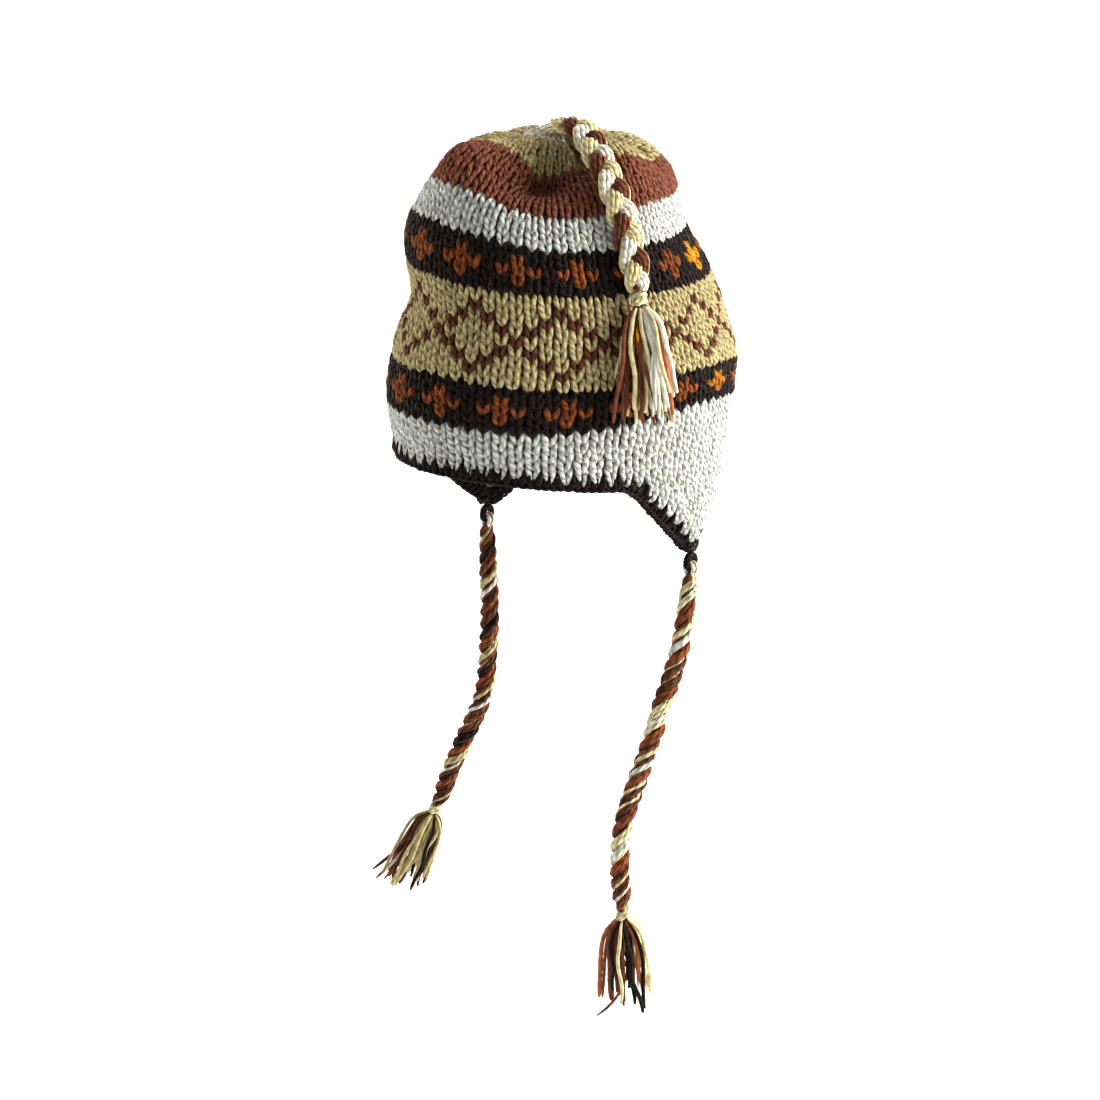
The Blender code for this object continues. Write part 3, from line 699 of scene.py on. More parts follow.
WOOL_STITCH = wool("wool_stitch")
WOOL_BACK = wool("wool_back", painted_groove_shade=0.35)
WOOL_CROCHET = wool("wool_crochet", painted_groove_shade=0.45, fluff=0.22)
WOOL_PLAIT = wool("wool_plait", painted_groove_shade=0.32, fleck=0.34)
WOOL_WIND = wool("wool_wind", painted_groove_shade=0.40)
WOOL_TASSEL = wool("wool_tassel", ply=1, painted_groove_shade=0.22, fleck=0.34, bump=0.0006)
WOOL_HAIR = wool("wool_hair", painted_groove_shade=0.0, fleck=0.1, fluff=0.0, bump=0.0001)

# ---------------------------------------------------------------- knitted bands
# Rows of stitches from the rim to the pole: name, rows, stitches round, dye, second dye, chart
# (rows from the bottom, '#' in the second dye), arc share of the upper edge at the turns of
# EDGE_TURNS, and how far the columns are turned round the crown, in stitches.
EDGE_TURNS = (0.00, 0.10, 0.25, 0.50, 0.75, 0.90)
STAR = ("....", ".#..", "###.", ".#..", "....")
DIAMOND = ("......", "...#..", "..#.#.", ".#...#", "#.....", ".#...#", "..#.#.", "...#..", "......")
PLAIN = (".",)
BANDS = (
    ("white_lower", 5, 68, "white", "white", PLAIN,
     (0.113, 0.115, 0.180, 0.140, 0.160, 0.120), -1.5),
    ("stars_lower", 5, 68, "dark", "orange", STAR,
     (0.240, 0.228, 0.262, 0.235, 0.255, 0.240), -1.5),
    ("diamonds", 9, 72, "khaki", "chestnut", DIAMOND,
     (0.475, 0.458, 0.453, 0.460, 0.465, 0.490), -1.6),
    ("stars_upper", 5, 64, "dark", "orange", STAR,
     (0.605, 0.567, 0.565, 0.575, 0.590, 0.612), -0.95),
    ("white_upper", 4, 64, "white", "white", PLAIN,
     (0.695, 0.642, 0.655, 0.665, 0.680, 0.700), -0.95),
    ("rust_ring", 5, 60, "rust", "rust", PLAIN,
     (0.842, 0.840, 0.768, 0.752, 0.765, 0.800), 0.0),
    ("khaki_wide", 3, 46, "khaki", "khaki", PLAIN,
     (0.880, 0.874, 0.832, 0.822, 0.830, 0.852), 0.0),
    ("khaki_mid", 3, 34, "khaki", "khaki", PLAIN,
     (0.902, 0.898, 0.886, 0.885, 0.887, 0.892), 0.0),
    ("khaki_close", 2, 24, "khaki", "khaki", PLAIN,
     (0.930, 0.926, 0.928, 0.920, 0.920, 0.926), 0.0),
    ("white_centre", 3, 17, "pale", "pale", PLAIN,
     (1.0, 1.0, 1.0, 1.0, 1.0, 1.0), 0.0),
)
PAINTED_LIT_STARS = {3: ("gold", 5), 1: ("painted_lit_orange", 5)}  # by band: a lit copy of the orange yarn, painted highlight, and which star has it
ROW_STARTS = np.concatenate(([0], np.cumsum([band[1] for band in BANDS]))).astype(float)
ROW_TOTAL = ROW_STARTS[-1]


def level(turn, row):
    """Arc share of a row at a turn: each band's edges are smooth periodic curves round the crown,
    and rows are evenly spaced between them."""
    turn = np.asarray(turn, float) % 1.0
    row = np.asarray(row, float)
    turn, row = np.broadcast_arrays(turn, row)
    at = np.array([t - 1.0 for t in EDGE_TURNS] + list(EDGE_TURNS) + [t + 1.0 for t in EDGE_TURNS])
    edges = np.stack(
        [np.zeros_like(turn)] + [smooth(turn, at, np.array(band[6] * 3)) for band in BANDS], -1
    )
    band = np.clip(np.searchsorted(ROW_STARTS, row, side="right") - 1, 0, len(BANDS) - 1)
    low = np.take_along_axis(edges, band[..., None], -1)[..., 0]
    high = np.take_along_axis(edges, band[..., None] + 1, -1)[..., 0]
    share = (row - ROW_STARTS[band]) / (ROW_STARTS[band + 1] - ROW_STARTS[band])
    return low + (high - low) * share


def dye_at(band, row, column):
    """Dye of each stitch by the band's chart, read round the crown."""
    main, second, chart = BANDS[band][3:6]
    marked = np.array([[cell == "#" for cell in line] for line in chart])
    spot = marked[row % len(chart), column % marked.shape[1]]
    dye = np.where(spot[..., None], DYES[second], DYES[main])
    # painted highlight: one star of these bands takes a lit copy of the orange yarn
    if band in PAINTED_LIT_STARS:
        yarn, star = PAINTED_LIT_STARS[band]
        painted_lit = spot & (column // len(chart[0]) == star)
        dye = np.where(painted_lit[..., None], DYES[yarn], dye)
    return dye


# One leg of a stitch, from its foot to its head: rows above the stitch's foot, share of a column
# aside from its middle, metres proud of the cloth's middle, and girth as a share of the full.
LEG = np.array(
    (
        (-0.46, 0.055, -0.0026, 0.36),
        (-0.24, 0.105, -0.0008, 0.78),
        (0.06, 0.170, 0.0001, 1.00),
        (0.40, 0.238, 0.0003, 1.06),
        (0.74, 0.298, 0.0002, 1.00),
        (1.04, 0.340, -0.0005, 0.78),
        (1.30, 0.340, -0.0022, 0.36),
    )
)
TOOTH = 0.0036  # how much prouder the foot of an edge stitch lies, over the edging
LEG_WIDE = 0.188  # half width of a leg as a share of its column
LEG_DEEP = 0.0016  # half depth of a leg
LEG_SINK = 0.0014  # depth of the legs' middle below the CAD wall's face
LEG_PITCH = 0.0074  # length in which a leg's plies turn once
LEG_PAINTED_SHADE = np.array([0.55, 0.8, 1.0, 1.0, 1.0, 0.85, 0.6])  # painted shade: a leg's dye is darker at its sunken ends
TOOTH_SHARE = np.array([1.0, 0.5, 0.15, 0.0, 0.0, 0.0, 0.0])  # how far a tooth's rise reaches up
TOOTH_SPREAD = 0.03  # its feet draw together by this share of a column
FULL_COLUMN = 0.0075  # narrower columns have shallower legs
CREEP = 0.14  # share of the ground's yarn that shows over a figure's leg
CREEP_ENDS = np.array([0.45, 0.25, 0.05, 0.0, 0.0, 0.20, 0.40])  # and more of it at a leg's ends
CREEP_MOST = 0.8
DRIFT = 0.10  # slow unevenness, in columns and rows
DRIFT_WAVES = ((3, 0.11), (7, 0.23), (13, 0.41))  # its waves round the cloth, and for each row up
STEP = 0.05  # short step in columns or rows, to feel the cloth's slope
# Spreads of the random unevenness between stitches and between legs.
UNEVEN_SHIFT = 0.022
UNEVEN_LIFT = 0.045
UNEVEN_SHARE = 0.07
UNEVEN_PROUD = 0.00022
UNEVEN_SLANT = 0.035
UNEVEN_CREEP = 0.16


def drift(column, row, around, seed):
    """Slow unevenness of hand knitting: three waves round and up the cloth."""
    rng = np.random.default_rng(seed)
    total = np.zeros(np.broadcast(column, row).shape)
    for turns, rise in DRIFT_WAVES:
        total = total + np.sin(TAU * (turns * column / around + rise * row + rng.random()))
    return total / len(DRIFT_WAVES)


def cloth_axes(surface, c, r, out):
    """The cloth's short steps along a row and up a column at a point."""
    over = surface(c + STEP, r, out) - surface(c - STEP, r, out)
    upward = surface(c, r + STEP, out) - surface(c, r - STEP, out)
    return over, upward


def lay_stitches(
    skein, surface, column, row, dye, around, rng, relief=0.85, edge=None, ground=None
):
    """Two mirrored legs for each stitch. surface(c, r, out) gives the cloth in columns and rows;
    a leg's middle line follows the table LEG on it, and its ring is wide across the cloth and
    thinner through it. edge marks stitches whose feet stand out over the edging. Where a ground
    is given, its yarn creeps over the ends of each leg."""
    count = len(column)
    side = np.array([-1.0, 1.0])[None, :, None]
    rise, aside, proud, thick = (LEG[:, k][None, None, :] for k in range(4))
    sideways = DRIFT * drift(column, row, around, 5)[:, None, None]
    upwards = DRIFT * drift(row * 2.0, column * 0.3, 9, 6)[:, None, None]
    shift = rng.normal(0, UNEVEN_SHIFT, (count, 1, 1)) + sideways
    lift = rng.normal(0, UNEVEN_LIFT, (count, 2, 1)) + upwards
    spread = 1 + rng.normal(0, UNEVEN_SHARE, (count, 2, 1))
    bulk = 1 + rng.normal(0, UNEVEN_SHARE, (count, 2, 1))
    raised = rng.normal(0, UNEVEN_PROUD, (count, 2, 1)) * relief
    slant = rng.normal(0, UNEVEN_SLANT, (count, 2, 1)) * (rise - 0.4)
    c = column[:, None, None] + 0.5 + shift + side * aside * spread + slant
    r = row[:, None, None] + rise + lift
    out = -LEG_SINK + proud * relief + raised
    if edge is not None:
        foot = TOOTH_SHARE * edge[:, None, None]
        out = out + foot * TOOTH
        c = c - side * foot * TOOTH_SPREAD
    c, r, out = np.broadcast_arrays(c, r, out)
    centre = surface(c, r, out)
    over, upward = cloth_axes(surface, c, r, out)
    outward = unit(np.cross(over, upward))
    wide = np.linalg.norm(over, axis=-1)[:, :, 3:4] / (2 * STEP)
    flat = (count * 2, LEG.shape[0])
    centre = centre.reshape(*flat, 3)
    across, deep = strand_axes(centre, outward.reshape(*flat, 3))
    half_width = (wide * LEG_WIDE * thick * bulk).reshape(flat)
    shallow = np.minimum(1.0, wide / FULL_COLUMN)
    half_depth = (LEG_DEEP * shallow * thick * bulk).reshape(flat)
    tone = 1 + rng.normal(0, UNEVEN_SHARE, (count, 2, 1))
    dye = dye[:, None, None, :]
    if ground is not None:
        creep = rng.normal(CREEP, UNEVEN_CREEP, (count, 2, 1)) + CREEP_ENDS
        dye = dye + (ground - dye) * np.clip(creep, 0, CREEP_MOST)[..., None]
    tint = (dye * (tone * LEG_PAINTED_SHADE)[..., None]).reshape(*flat, 3)
    start = rng.random(count * 2) * 40
    skein.add(centre, across, deep, half_width, half_depth, tint, pitch=LEG_PITCH, start=start)


def crown_cloth(band):
    """The crown in columns and rows of one band."""
    around, shift = BANDS[band][2], BANDS[band][7]

    def surface(c, r, out):
        turn = (c + shift) / around
        return crown_point(turn, level(turn, np.minimum(r, ROW_TOTAL)), out, PLAIN_FOLD)

    return surface


def knit_band(name, bands):
    """The stitches of neighbouring bands as one mesh."""
    skein = Skein()
    for band in bands:
        _, rows, around, main = BANDS[band][:4]
        row, column = (grid.ravel() for grid in np.mgrid[0:rows, 0:around])
        lay_stitches(
            skein,
            crown_cloth(band),
            column.astype(float),
            row + ROW_STARTS[band],
            dye_at(band, row, column),
            around,
            np.random.default_rng(100 + band),
            edge=(row == 0).astype(float) if band == 0 else None,
            ground=DYES["dark"] if main == "dark" else None,
        )
    return skein.mesh(name, WOOL_STITCH)


BACK_TURNS = 252  # meshing of the cloth behind the stitches: round, up its outer and inner face
BACK_OUT_ROWS = 72
BACK_IN_ROWS = 112
BACK_SHORT = 0.3  # it stops this many rows before the pole
BACK_SINK = 0.0030  # depth of its outer face below the CAD wall's face
INNER_CLEAR = 0.0004  # its inner face stays this far from the CAD wall's inner face
BACK_PAINTED_SHADE = 0.35  # share of the dye in the grooves between stitches, darkened as painted shade
PURL = 0.0006  # height of the purl side's ridges
PURL_AROUND = 72.0  # purl bumps round the crown
PURL_WAVE = 0.22  # how far a ridge waves up and down, in rows
PURL_PAINTED_SHADE = (0.62, 0.38)  # painted shade: share of the dye between the ridges, and more of it on them


def dye_grid(turn, row):
    """Dye of the cloth behind the stitches at any turn and row."""
    band = np.clip(np.searchsorted(ROW_STARTS, row, side="right") - 1, 0, len(BANDS) - 1)
    dye = np.zeros(turn.shape + (3,))
    for k, (_, rows, around, *_rest, shift) in enumerate(BANDS):
        here = band == k
        within = np.clip((row - ROW_STARTS[k]).astype(int), 0, rows - 1)
        column = np.floor(turn * around - shift + 1e-6).astype(int) % around
        dye[here] = dye_at(k, within, column)[here]
    return dye


SHELL_UV = (144.0, 0.5)  # UV units once round the shell, and for one of its rows
PLATE_UV = 0.33  # UV units for one cell of a flap's backing


def closed_shell(name, outer, inner, outer_dye_painted_shade, inner_dye_painted_shade, finish):
    """A cloth that closes at a pole: the outer skin from the pole down to the rim, then the inner
    skin from the rim up to its pole. Each grid has its first row at the rim."""
    turns = outer.shape[1]
    rows = np.concatenate([outer[::-1], inner])
    tint = np.concatenate([outer_dye_painted_shade[::-1], inner_dye_painted_shade])
    points = np.concatenate([rows.reshape(-1, 3), outer[-1].mean(0)[None], inner[-1].mean(0)[None]])
    dyes = np.concatenate([tint.reshape(-1, 3), outer_dye_painted_shade[-1, :1], inner_dye_painted_shade[-1, :1]])
    r = np.arange(len(rows) - 1)[:, None]
    c = np.arange(turns)[None, :]
    n = (c + 1) % turns
    quads = np.stack([r * turns + c, (r + 1) * turns + c, (r + 1) * turns + n, r * turns + n], -1)
    u1, u2 = c / turns * SHELL_UV[0], (c + 1) / turns * SHELL_UV[0]
    v1, v2 = r * SHELL_UV[1], (r + 1) * SHELL_UV[1]
    quad_uvs = corner_uvs((u1, v1), (u1, v2), (u2, v2), (u2, v1))
    c = np.arange(turns)
    n = (c + 1) % turns
    first = np.stack([np.full(turns, len(rows) * turns), c, n], -1)
    top = (len(rows) - 1) * turns
    second = np.stack([np.full(turns, len(rows) * turns + 1), top + n, top + c], -1)
    corners = np.concatenate([quads.reshape(-1), first.reshape(-1), second.reshape(-1)])
    sizes = np.concatenate([np.full(quads.size // 4, 4), np.full(2 * turns, 3)])
    uvs = np.concatenate([quad_uvs, np.zeros((6 * turns, 2))])
    return put_mesh(name, points, corners, sizes, uvs, dyes, finish)


def purl_ridge(row, column):
    """The purl side's wavy ridges, 0 to 1: cos^2(pi (row + PURL_WAVE cos(2 pi column)))."""
    return np.cos(math.pi * (row + PURL_WAVE * np.cos(TAU * column))) ** 2


def purl_dye_with_painted_shade(dye, ridge):
    """The dye of the purl side with painted shade, darker between the ridges."""
    return dye * (PURL_PAINTED_SHADE[0] + PURL_PAINTED_SHADE[1] * ridge[..., None])


def knit_back():
    """The cloth behind the stitches: its outer face lies in the grooves, and its inner face has
    the purl side's ridges."""
    turn = np.arange(BACK_TURNS) / BACK_TURNS
    turn, outer_row = np.meshgrid(turn, np.linspace(0, ROW_TOTAL - BACK_SHORT, BACK_OUT_ROWS))
    outer = crown_point(turn, level(turn, outer_row), -BACK_SINK)
    # painted shade: the outer face is the dye darkened, where it shows in the grooves between
    # stitches
    outer_dye_painted_shade = dye_grid(turn, outer_row) * BACK_PAINTED_SHADE
    turn, inner_row = np.meshgrid(turn[0], np.linspace(0, ROW_TOTAL - BACK_SHORT, BACK_IN_ROWS))
    ridge = purl_ridge(inner_row, turn * PURL_AROUND)
    depth = -WALL + INNER_CLEAR - PURL * ridge
    inner = crown_point(turn, level(turn, inner_row), depth, PLAIN_FOLD)
    # painted shade: the inner face is darker between its ridges
    inner_dye_painted_shade = purl_dye_with_painted_shade(dye_grid(turn, inner_row), ridge)
    return closed_shell("knit_back", outer, inner, outer_dye_painted_shade, inner_dye_painted_shade, WOOL_BACK)


# ---------------------------------------------------------------- flaps
FLAP_COLUMNS = 14
FLAP_STITCH_ROWS = 8
FLAP_HALF = FLAP_COLUMNS / 2
FLAP_RELIEF = 0.6  # its stitches stand out less than the crown's
DRIFT_AROUND = 72  # columns in one turn of its slow unevenness
FLAP_FIT = 0.25  # height in a row, in rows, where its width is read
FLAP_OVERHANG = 1.12  # a leg may reach this share of the half width from the middle
FLAP_LAP = 0.012  # the backing starts above the rim by this share of the flap's drop
FLAP_GRID = (97, 49)  # its points across and down
FLAP_PURL = 8  # half of the purl bumps across it


def flap_down(row):
    """Share of a flap's drop at a row, counted from the tip up."""
    return (FLAP_STITCH_ROWS - row) / FLAP_STITCH_ROWS * FLAP_END


def flap_cloth(side):
    """A flap in columns and rows. Columns stay upright, so they end along the slanted edges: the
    share across the flap is the column divided by what is left of the width at that row."""

    def surface(c, r, out):
        down = flap_down(r)
        across = (c - FLAP_HALF) / FLAP_HALF / (1 - down)
        return flap_point(side, side * np.clip(across, -FLAP_OVERHANG, FLAP_OVERHANG), down, out)

    return surface


def knit_flap(side, name):
    """Stitches of a flap: in each row, the columns that fit between its slanted edges. Those that
    don't fit in the row below are edge stitches."""
    row, column = (grid.ravel() for grid in np.mgrid[0:FLAP_STITCH_ROWS, 0:FLAP_COLUMNS])
    away = np.abs(column + 0.5 - FLAP_HALF)
    keep = away <= FLAP_HALF * (1 - flap_down(row + FLAP_FIT))
    edge = (away > FLAP_HALF * (1 - flap_down(row + FLAP_FIT - 1)))[keep].astype(float)
    row, column = row[keep].astype(float), column[keep].astype(float)
    dye = np.broadcast_to(DYES["white"], (len(row), 3))
    rng = np.random.default_rng(40 + side)
    skein = Skein()
    lay_stitches(
        skein, flap_cloth(side), column, row, dye, DRIFT_AROUND, rng, relief=FLAP_RELIEF, edge=edge
    )
    return skein.mesh(name, WOOL_STITCH)


def flap_back(side, name):
    """The cloth behind a flap's stitches: a closed plate whose inner face has purl ridges."""
    wide, tall = FLAP_GRID
    shares = np.linspace(-1, 1, wide) * side
    across, down = np.meshgrid(shares, np.linspace(-FLAP_LAP, FLAP_END, tall))
    ridge = purl_ridge(down / FLAP_END * FLAP_STITCH_ROWS, across * FLAP_PURL * (1 - down))
    outer = flap_point(side, across, down, np.full(down.shape, -BACK_SINK))
    inner = flap_point(side, across, down, -WALL + INNER_CLEAR - PURL * ridge)
    # painted shade: the outer face is the white dye darkened, and the inner face is darker between
    # its ridges
    outer_dye_painted_shade = np.broadcast_to(DYES["white"] * BACK_PAINTED_SHADE, outer.shape)
    inner_dye_painted_shade = purl_dye_with_painted_shade(DYES["white"], ridge)
    points = np.concatenate([outer.reshape(-1, 3), inner.reshape(-1, 3)])
    dyes = np.concatenate([outer_dye_painted_shade.reshape(-1, 3), inner_dye_painted_shade.reshape(-1, 3)])
    r = np.arange(tall - 1)[:, None]
    c = np.arange(wide - 1)[None, :]
    a = r * wide + c
    front = np.stack([a, a + wide, a + wide + 1, a + 1], -1).reshape(-1, 4)
    second = tall * wide
    rear = front[:, ::-1] + second
    border = np.concatenate(
        [
            np.arange(wide),
            np.arange(1, tall) * wide + wide - 1,
            (tall - 1) * wide + np.arange(wide - 2, -1, -1),
            np.arange(tall - 2, 0, -1) * wide,
        ]
    )
    ahead = np.roll(border, -1)
    rim = np.stack([border, ahead, ahead + second, border + second], -1)
    quads = np.concatenate([front, rear, rim])
    flat = quads.reshape(-1) % second
    uvs = np.stack([flat % wide, flat // wide], -1) * PLATE_UV
    return put_mesh(name, points, quads.reshape(-1), np.full(len(quads), 4), uvs, dyes, WOOL_BACK)


# ---------------------------------------------------------------- crocheted edging
EDGE_STITCHES = 148
EDGE_FINE = 1480  # points of its middle line
EDGE_LOOK = 4  # points to either side that give the line's direction
EDGE_EGG = 1.3  # how much further its section reaches up than down, in radii
FEEL = 0.001  # a short step out of a surface, to find its outward direction
SPIKE_RISE = 0.70  # rows that the edging's yarn reaches up between the columns
SPIKE_FOOT = 0.55  # rows below the rim where a spike begins
FLAP_SPIKE_RISE = 0.085  # the same on a flap, as shares of its drop
FLAP_SPIKE_FOOT = 0.045
SPIKE_OUT = (0.0009, 0.0010)  # a spike's height over the cloth at its foot, and how far it sinks
SPIKE_GIRTH = np.array([1.35, 1.35, 1.25, 1.10, 0.95, 0.75, 0.35]) * 0.001
UNEVEN_SPIKE = 0.14  # random spreads: a spike's reach, its place, girths, and dyes
UNEVEN_PLACE = 0.05
UNEVEN_GIRTH = 0.10
UNEVEN_DARK = 0.14
EDGE_GIRTH = 0.08
# Tubes inside the edging: height above its middle line, and radius.
EDGE_CORES = ((0.0, EDGE_RADIUS - 0.0009), (0.0028, 0.0017))
# painted shade: the tubes inside the edging are darker than its yarn, for the shade under the wraps
CORE_PAINTED_SHADE = 0.6
CORE_STEP = 5  # the tubes follow every fifth point of the line
# Yarns over its outside, one of each for a stitch: lean along it and shift, in stitches, first
# and last angle, radius beyond EDGE_RADIUS, and girth.
EDGE_WRAPS = (
    (0.55, 0.0, -2.2, 1.9, -0.00115, 0.00125),
    (-0.50, 0.25, -1.7, 1.1, -0.00095, 0.00115),
    (0.30, 0.0, 3.6, 1.6, -0.0012, 0.0011),
)
UNEVEN_ALONG = 0.07  # random spreads of a stitch's place, and of a wrap's angle and radius
WRAP_UNEVEN = (0.10, 0.0002)
WRAP_BELLY = 0.0003
WRAP_SHAPE = np.array([0.6, 0.95, 1.0, 1.1, 1.1, 1.0, 0.95, 0.6])
CHAIN_SHAPE = np.array([0.55, 0.9, 1.0, 1.05, 1.0, 0.85, 0.5])
CHAIN_GIRTH = 0.00115
CHAIN_ANGLE = 1.25  # the chain runs along the lower outside
CHAIN_ARC = (0.10, 0.34)  # its two yarns part by the first, and bow by the second
CHAIN_UNEVEN = (0.05, 0.00015)
CHAIN_DIP = 0.0011  # how far a link's ends sink
CHAIN_LEAP = 1.25  # each of its links spans this many stitches


def edge_frame():
    """Fine points of the edging's middle line with two cross directions: outwards, and down."""
    line = through(edge_route(), EDGE_FINE, closed=True)
    along = unit(np.roll(line, -EDGE_LOOK, axis=0) - np.roll(line, EDGE_LOOK, axis=0))
    outward = line * np.array([1.0, 1.0, 0.0])
    first = unit(outward - along * np.sum(outward * along, axis=1)[:, None])
    return line, first, np.cross(along, first)


EDGE_LINE, EDGE_FIRST, EDGE_SECOND = edge_frame()


def edge_surface(place, angle, radius):
    """Point round the edging: place in stitches along it, angle round it from outwards to down.
    Its section is an egg that reaches up into the cloth: radius (1 + EDGE_EGG sin^2) above."""
    at = (place / EDGE_STITCHES % 1.0) * EDGE_FINE
    grid = np.arange(EDGE_FINE + 1)

    def read(table):
        wrapped = np.concatenate([table, table[:1]])
        return np.stack([np.interp(at, grid, wrapped[:, k]) for k in range(3)], -1)

    ring = read(EDGE_FIRST) * np.cos(angle)[..., None]
    ring = ring + read(EDGE_SECOND) * np.sin(angle)[..., None]
    egg = 1 + EDGE_EGG * np.clip(-np.sin(angle), 0, 1) ** 2
    return read(EDGE_LINE) + ring * (radius * egg)[..., None]


def edge_spikes(skein, rng):
    """The edging's yarn where it reaches up between the columns of the first row: a tapering
    strand on every column boundary of the rim and of the flaps' slanted edges."""
    around, shift = BANDS[0][2], BANDS[0][7]
    c = np.arange(around, dtype=float)
    turn = ((c + shift) / around + 0.5) % 1.0 - 0.5
    c = c[(np.abs(turn) < FLAP_FRONT) | (np.abs(turn) > FLAP_BACK)][:, None]
    t = np.linspace(0, 1, len(SPIKE_GIRTH))[None, :]
    height = SPIKE_OUT[0] - SPIKE_OUT[1] * t
    high = SPIKE_RISE * (1 + rng.normal(0, UNEVEN_SPIKE, c.shape))
    cloth = crown_cloth(0)
    at, out = np.broadcast_arrays(c + rng.normal(0, UNEVEN_PLACE, c.shape), height)
    r = -SPIKE_FOOT + (high + SPIKE_FOOT) * t
    paths = [cloth(at, r, out)]
    faces = [unit(cloth(at, r, np.full(at.shape, FEEL)) - cloth(at, r, np.zeros(at.shape)))]
    for side in (1, -1):
        c = np.arange(1.0, FLAP_COLUMNS)
        c = c[np.abs(c - FLAP_HALF) > 0.6][:, None]
        away = np.abs(c - FLAP_HALF) / FLAP_HALF
        high = FLAP_SPIKE_RISE * (1 + rng.normal(0, UNEVEN_SPIKE, c.shape))
        down = 1 - away + FLAP_SPIKE_FOOT - (high + FLAP_SPIKE_FOOT) * t
        down = np.clip(down, 0.0, 0.97)
        across = np.sign(c - FLAP_HALF) * np.clip(away / (1 - down), 0, 1.2) * side
        out = np.broadcast_to(height, down.shape)
        paths.append(flap_point(side, across, down, out))
        faces.append(unit(flap_point(side, across, down, out + FEEL) - paths[-1]))
    path, face = np.concatenate(paths), np.concatenate(faces)
    across, deep = strand_axes(path, face)
    size = SPIKE_GIRTH * (1 + rng.normal(0, UNEVEN_GIRTH, (len(path), 1)))
    tone = DYES["dark"] * (1 + rng.normal(0, UNEVEN_DARK, (len(path), 1)))
    skein.add(path, across, deep, size, size * 0.9, tone, start=rng.random(len(path)) * 30)


def lay_crochet(skein, rng, spot, angle, radius, girth, shape):
    """One yarn for each stitch round the edging: at each station its place in stitches, its
    angle and its distance from the middle line, and its girth by shape."""
    spot, angle, radius = np.broadcast_arrays(spot, angle, radius)
    centre = edge_surface(spot, angle, radius)
    out = unit(centre - edge_surface(spot, angle, np.zeros(radius.shape)))
    across, deep = strand_axes(centre, out)
    wide = girth * (1 + rng.normal(0, EDGE_GIRTH, (EDGE_STITCHES, 1))) * shape
    tone = DYES["dark"] * (1 + rng.normal(0, UNEVEN_DARK, (EDGE_STITCHES, 1)))
    start = rng.random(EDGE_STITCHES) * 30
    skein.add(centre, across, deep, wide, wide * 0.85, tone, start=start)


def crochet_edging():
    """A core tube, upright legs wrapped over its outside, a chain along its lower edge, and the
    spikes that reach up into the cloth."""
    skein = Skein()
    rng = np.random.default_rng(7)
    edge_spikes(skein, rng)
    core, first, second = (
        table[::CORE_STEP][None] for table in (EDGE_LINE, EDGE_FIRST, EDGE_SECOND)
    )
    dye = np.broadcast_to(DYES["dark"] * CORE_PAINTED_SHADE, (1, 3))
    for rise, size in EDGE_CORES:
        size = np.full(core.shape[:2], size)
        skein.add(core - second * rise, first, second, size, size, dye, sides=8, closed=True)
    each = (EDGE_STITCHES, 1)
    place = np.arange(EDGE_STITCHES)[:, None] + rng.normal(0, UNEVEN_ALONG, each)
    t = np.linspace(0, 1, len(WRAP_SHAPE))[None, :]
    for lean, shift, start, end, proud, girth in EDGE_WRAPS:
        angle = start + (end - start) * t + rng.normal(0, WRAP_UNEVEN[0], each)
        spot = place + lean * (t - 0.5) + shift
        radius = EDGE_RADIUS + proud + WRAP_BELLY * np.sin(math.pi * t)
        radius = radius + rng.normal(0, WRAP_UNEVEN[1], each)
        lay_crochet(skein, rng, spot, angle, radius, girth, WRAP_SHAPE)
    t = np.linspace(0, 1, len(CHAIN_SHAPE))[None, :]
    for side in (-1.0, 1.0):
        angle = CHAIN_ANGLE + side * (CHAIN_ARC[0] + CHAIN_ARC[1] * np.sin(t * math.pi * 0.85))
        angle = angle + rng.normal(0, CHAIN_UNEVEN[0], each)
        spot = place + 0.5 + CHAIN_LEAP * t
        radius = EDGE_RADIUS + 0.0001 - CHAIN_DIP * (2 * t - 1) ** 4
        radius = radius + rng.normal(0, CHAIN_UNEVEN[1], each)
        lay_crochet(skein, rng, spot, angle, radius, CHAIN_GIRTH, CHAIN_SHAPE)
    return skein.mesh("crochet_edging", WOOL_CROCHET)


LOOP_STATIONS = 48
LOOP_PLIES = 3
LOOP_TWISTS = 5  # turns of the plies about each other round the ring
LOOP_LAY = 0.0009  # distance of a ply from the middle of the ring's yarn
LOOP_PLY = 0.00115  # a ply's radius


def crochet_loop(side, name):
    """A tip loop: plies twisted about the middle line of a ring, at LOOP_LAY from it."""
    skein = Skein()
    turn = np.arange(LOOP_STATIONS) / LOOP_STATIONS * TAU
    phase = (np.arange(LOOP_PLIES) / LOOP_PLIES * TAU)[:, None] + LOOP_TWISTS * turn[None, :]
    reach = LOOP_RADIUS + LOOP_LAY * np.cos(phase)
    centre = np.stack([LOOP_LAY * np.sin(phase), reach * np.sin(turn), reach * np.cos(turn)], -1)
    centre = centre + loop_centre(side)
    along = unit(np.roll(centre, -1, axis=1) - np.roll(centre, 1, axis=1))
    across = unit(np.cross(np.broadcast_to([1.0, 0.0, 0.0], along.shape), along))
    size = np.full(centre.shape[:2], LOOP_PLY)
    dye = DYES["dark"] * np.array([[1.0], [0.85], [1.2]])
    skein.add(centre, across, np.cross(along, across), size, size, dye, sides=7, closed=True)
    return skein.mesh(name, WOOL_CROCHET)


# ---------------------------------------------------------------- plaits, windings and tassels


def plait_axes(line, side):
    """Width and depth directions of a plait along its line: width near side, depth square to
    both."""
    along = unit(np.gradient(line, axis=0))
    deep = unit(np.cross(np.broadcast_to(side, line.shape), along))
    return np.cross(along, deep), deep


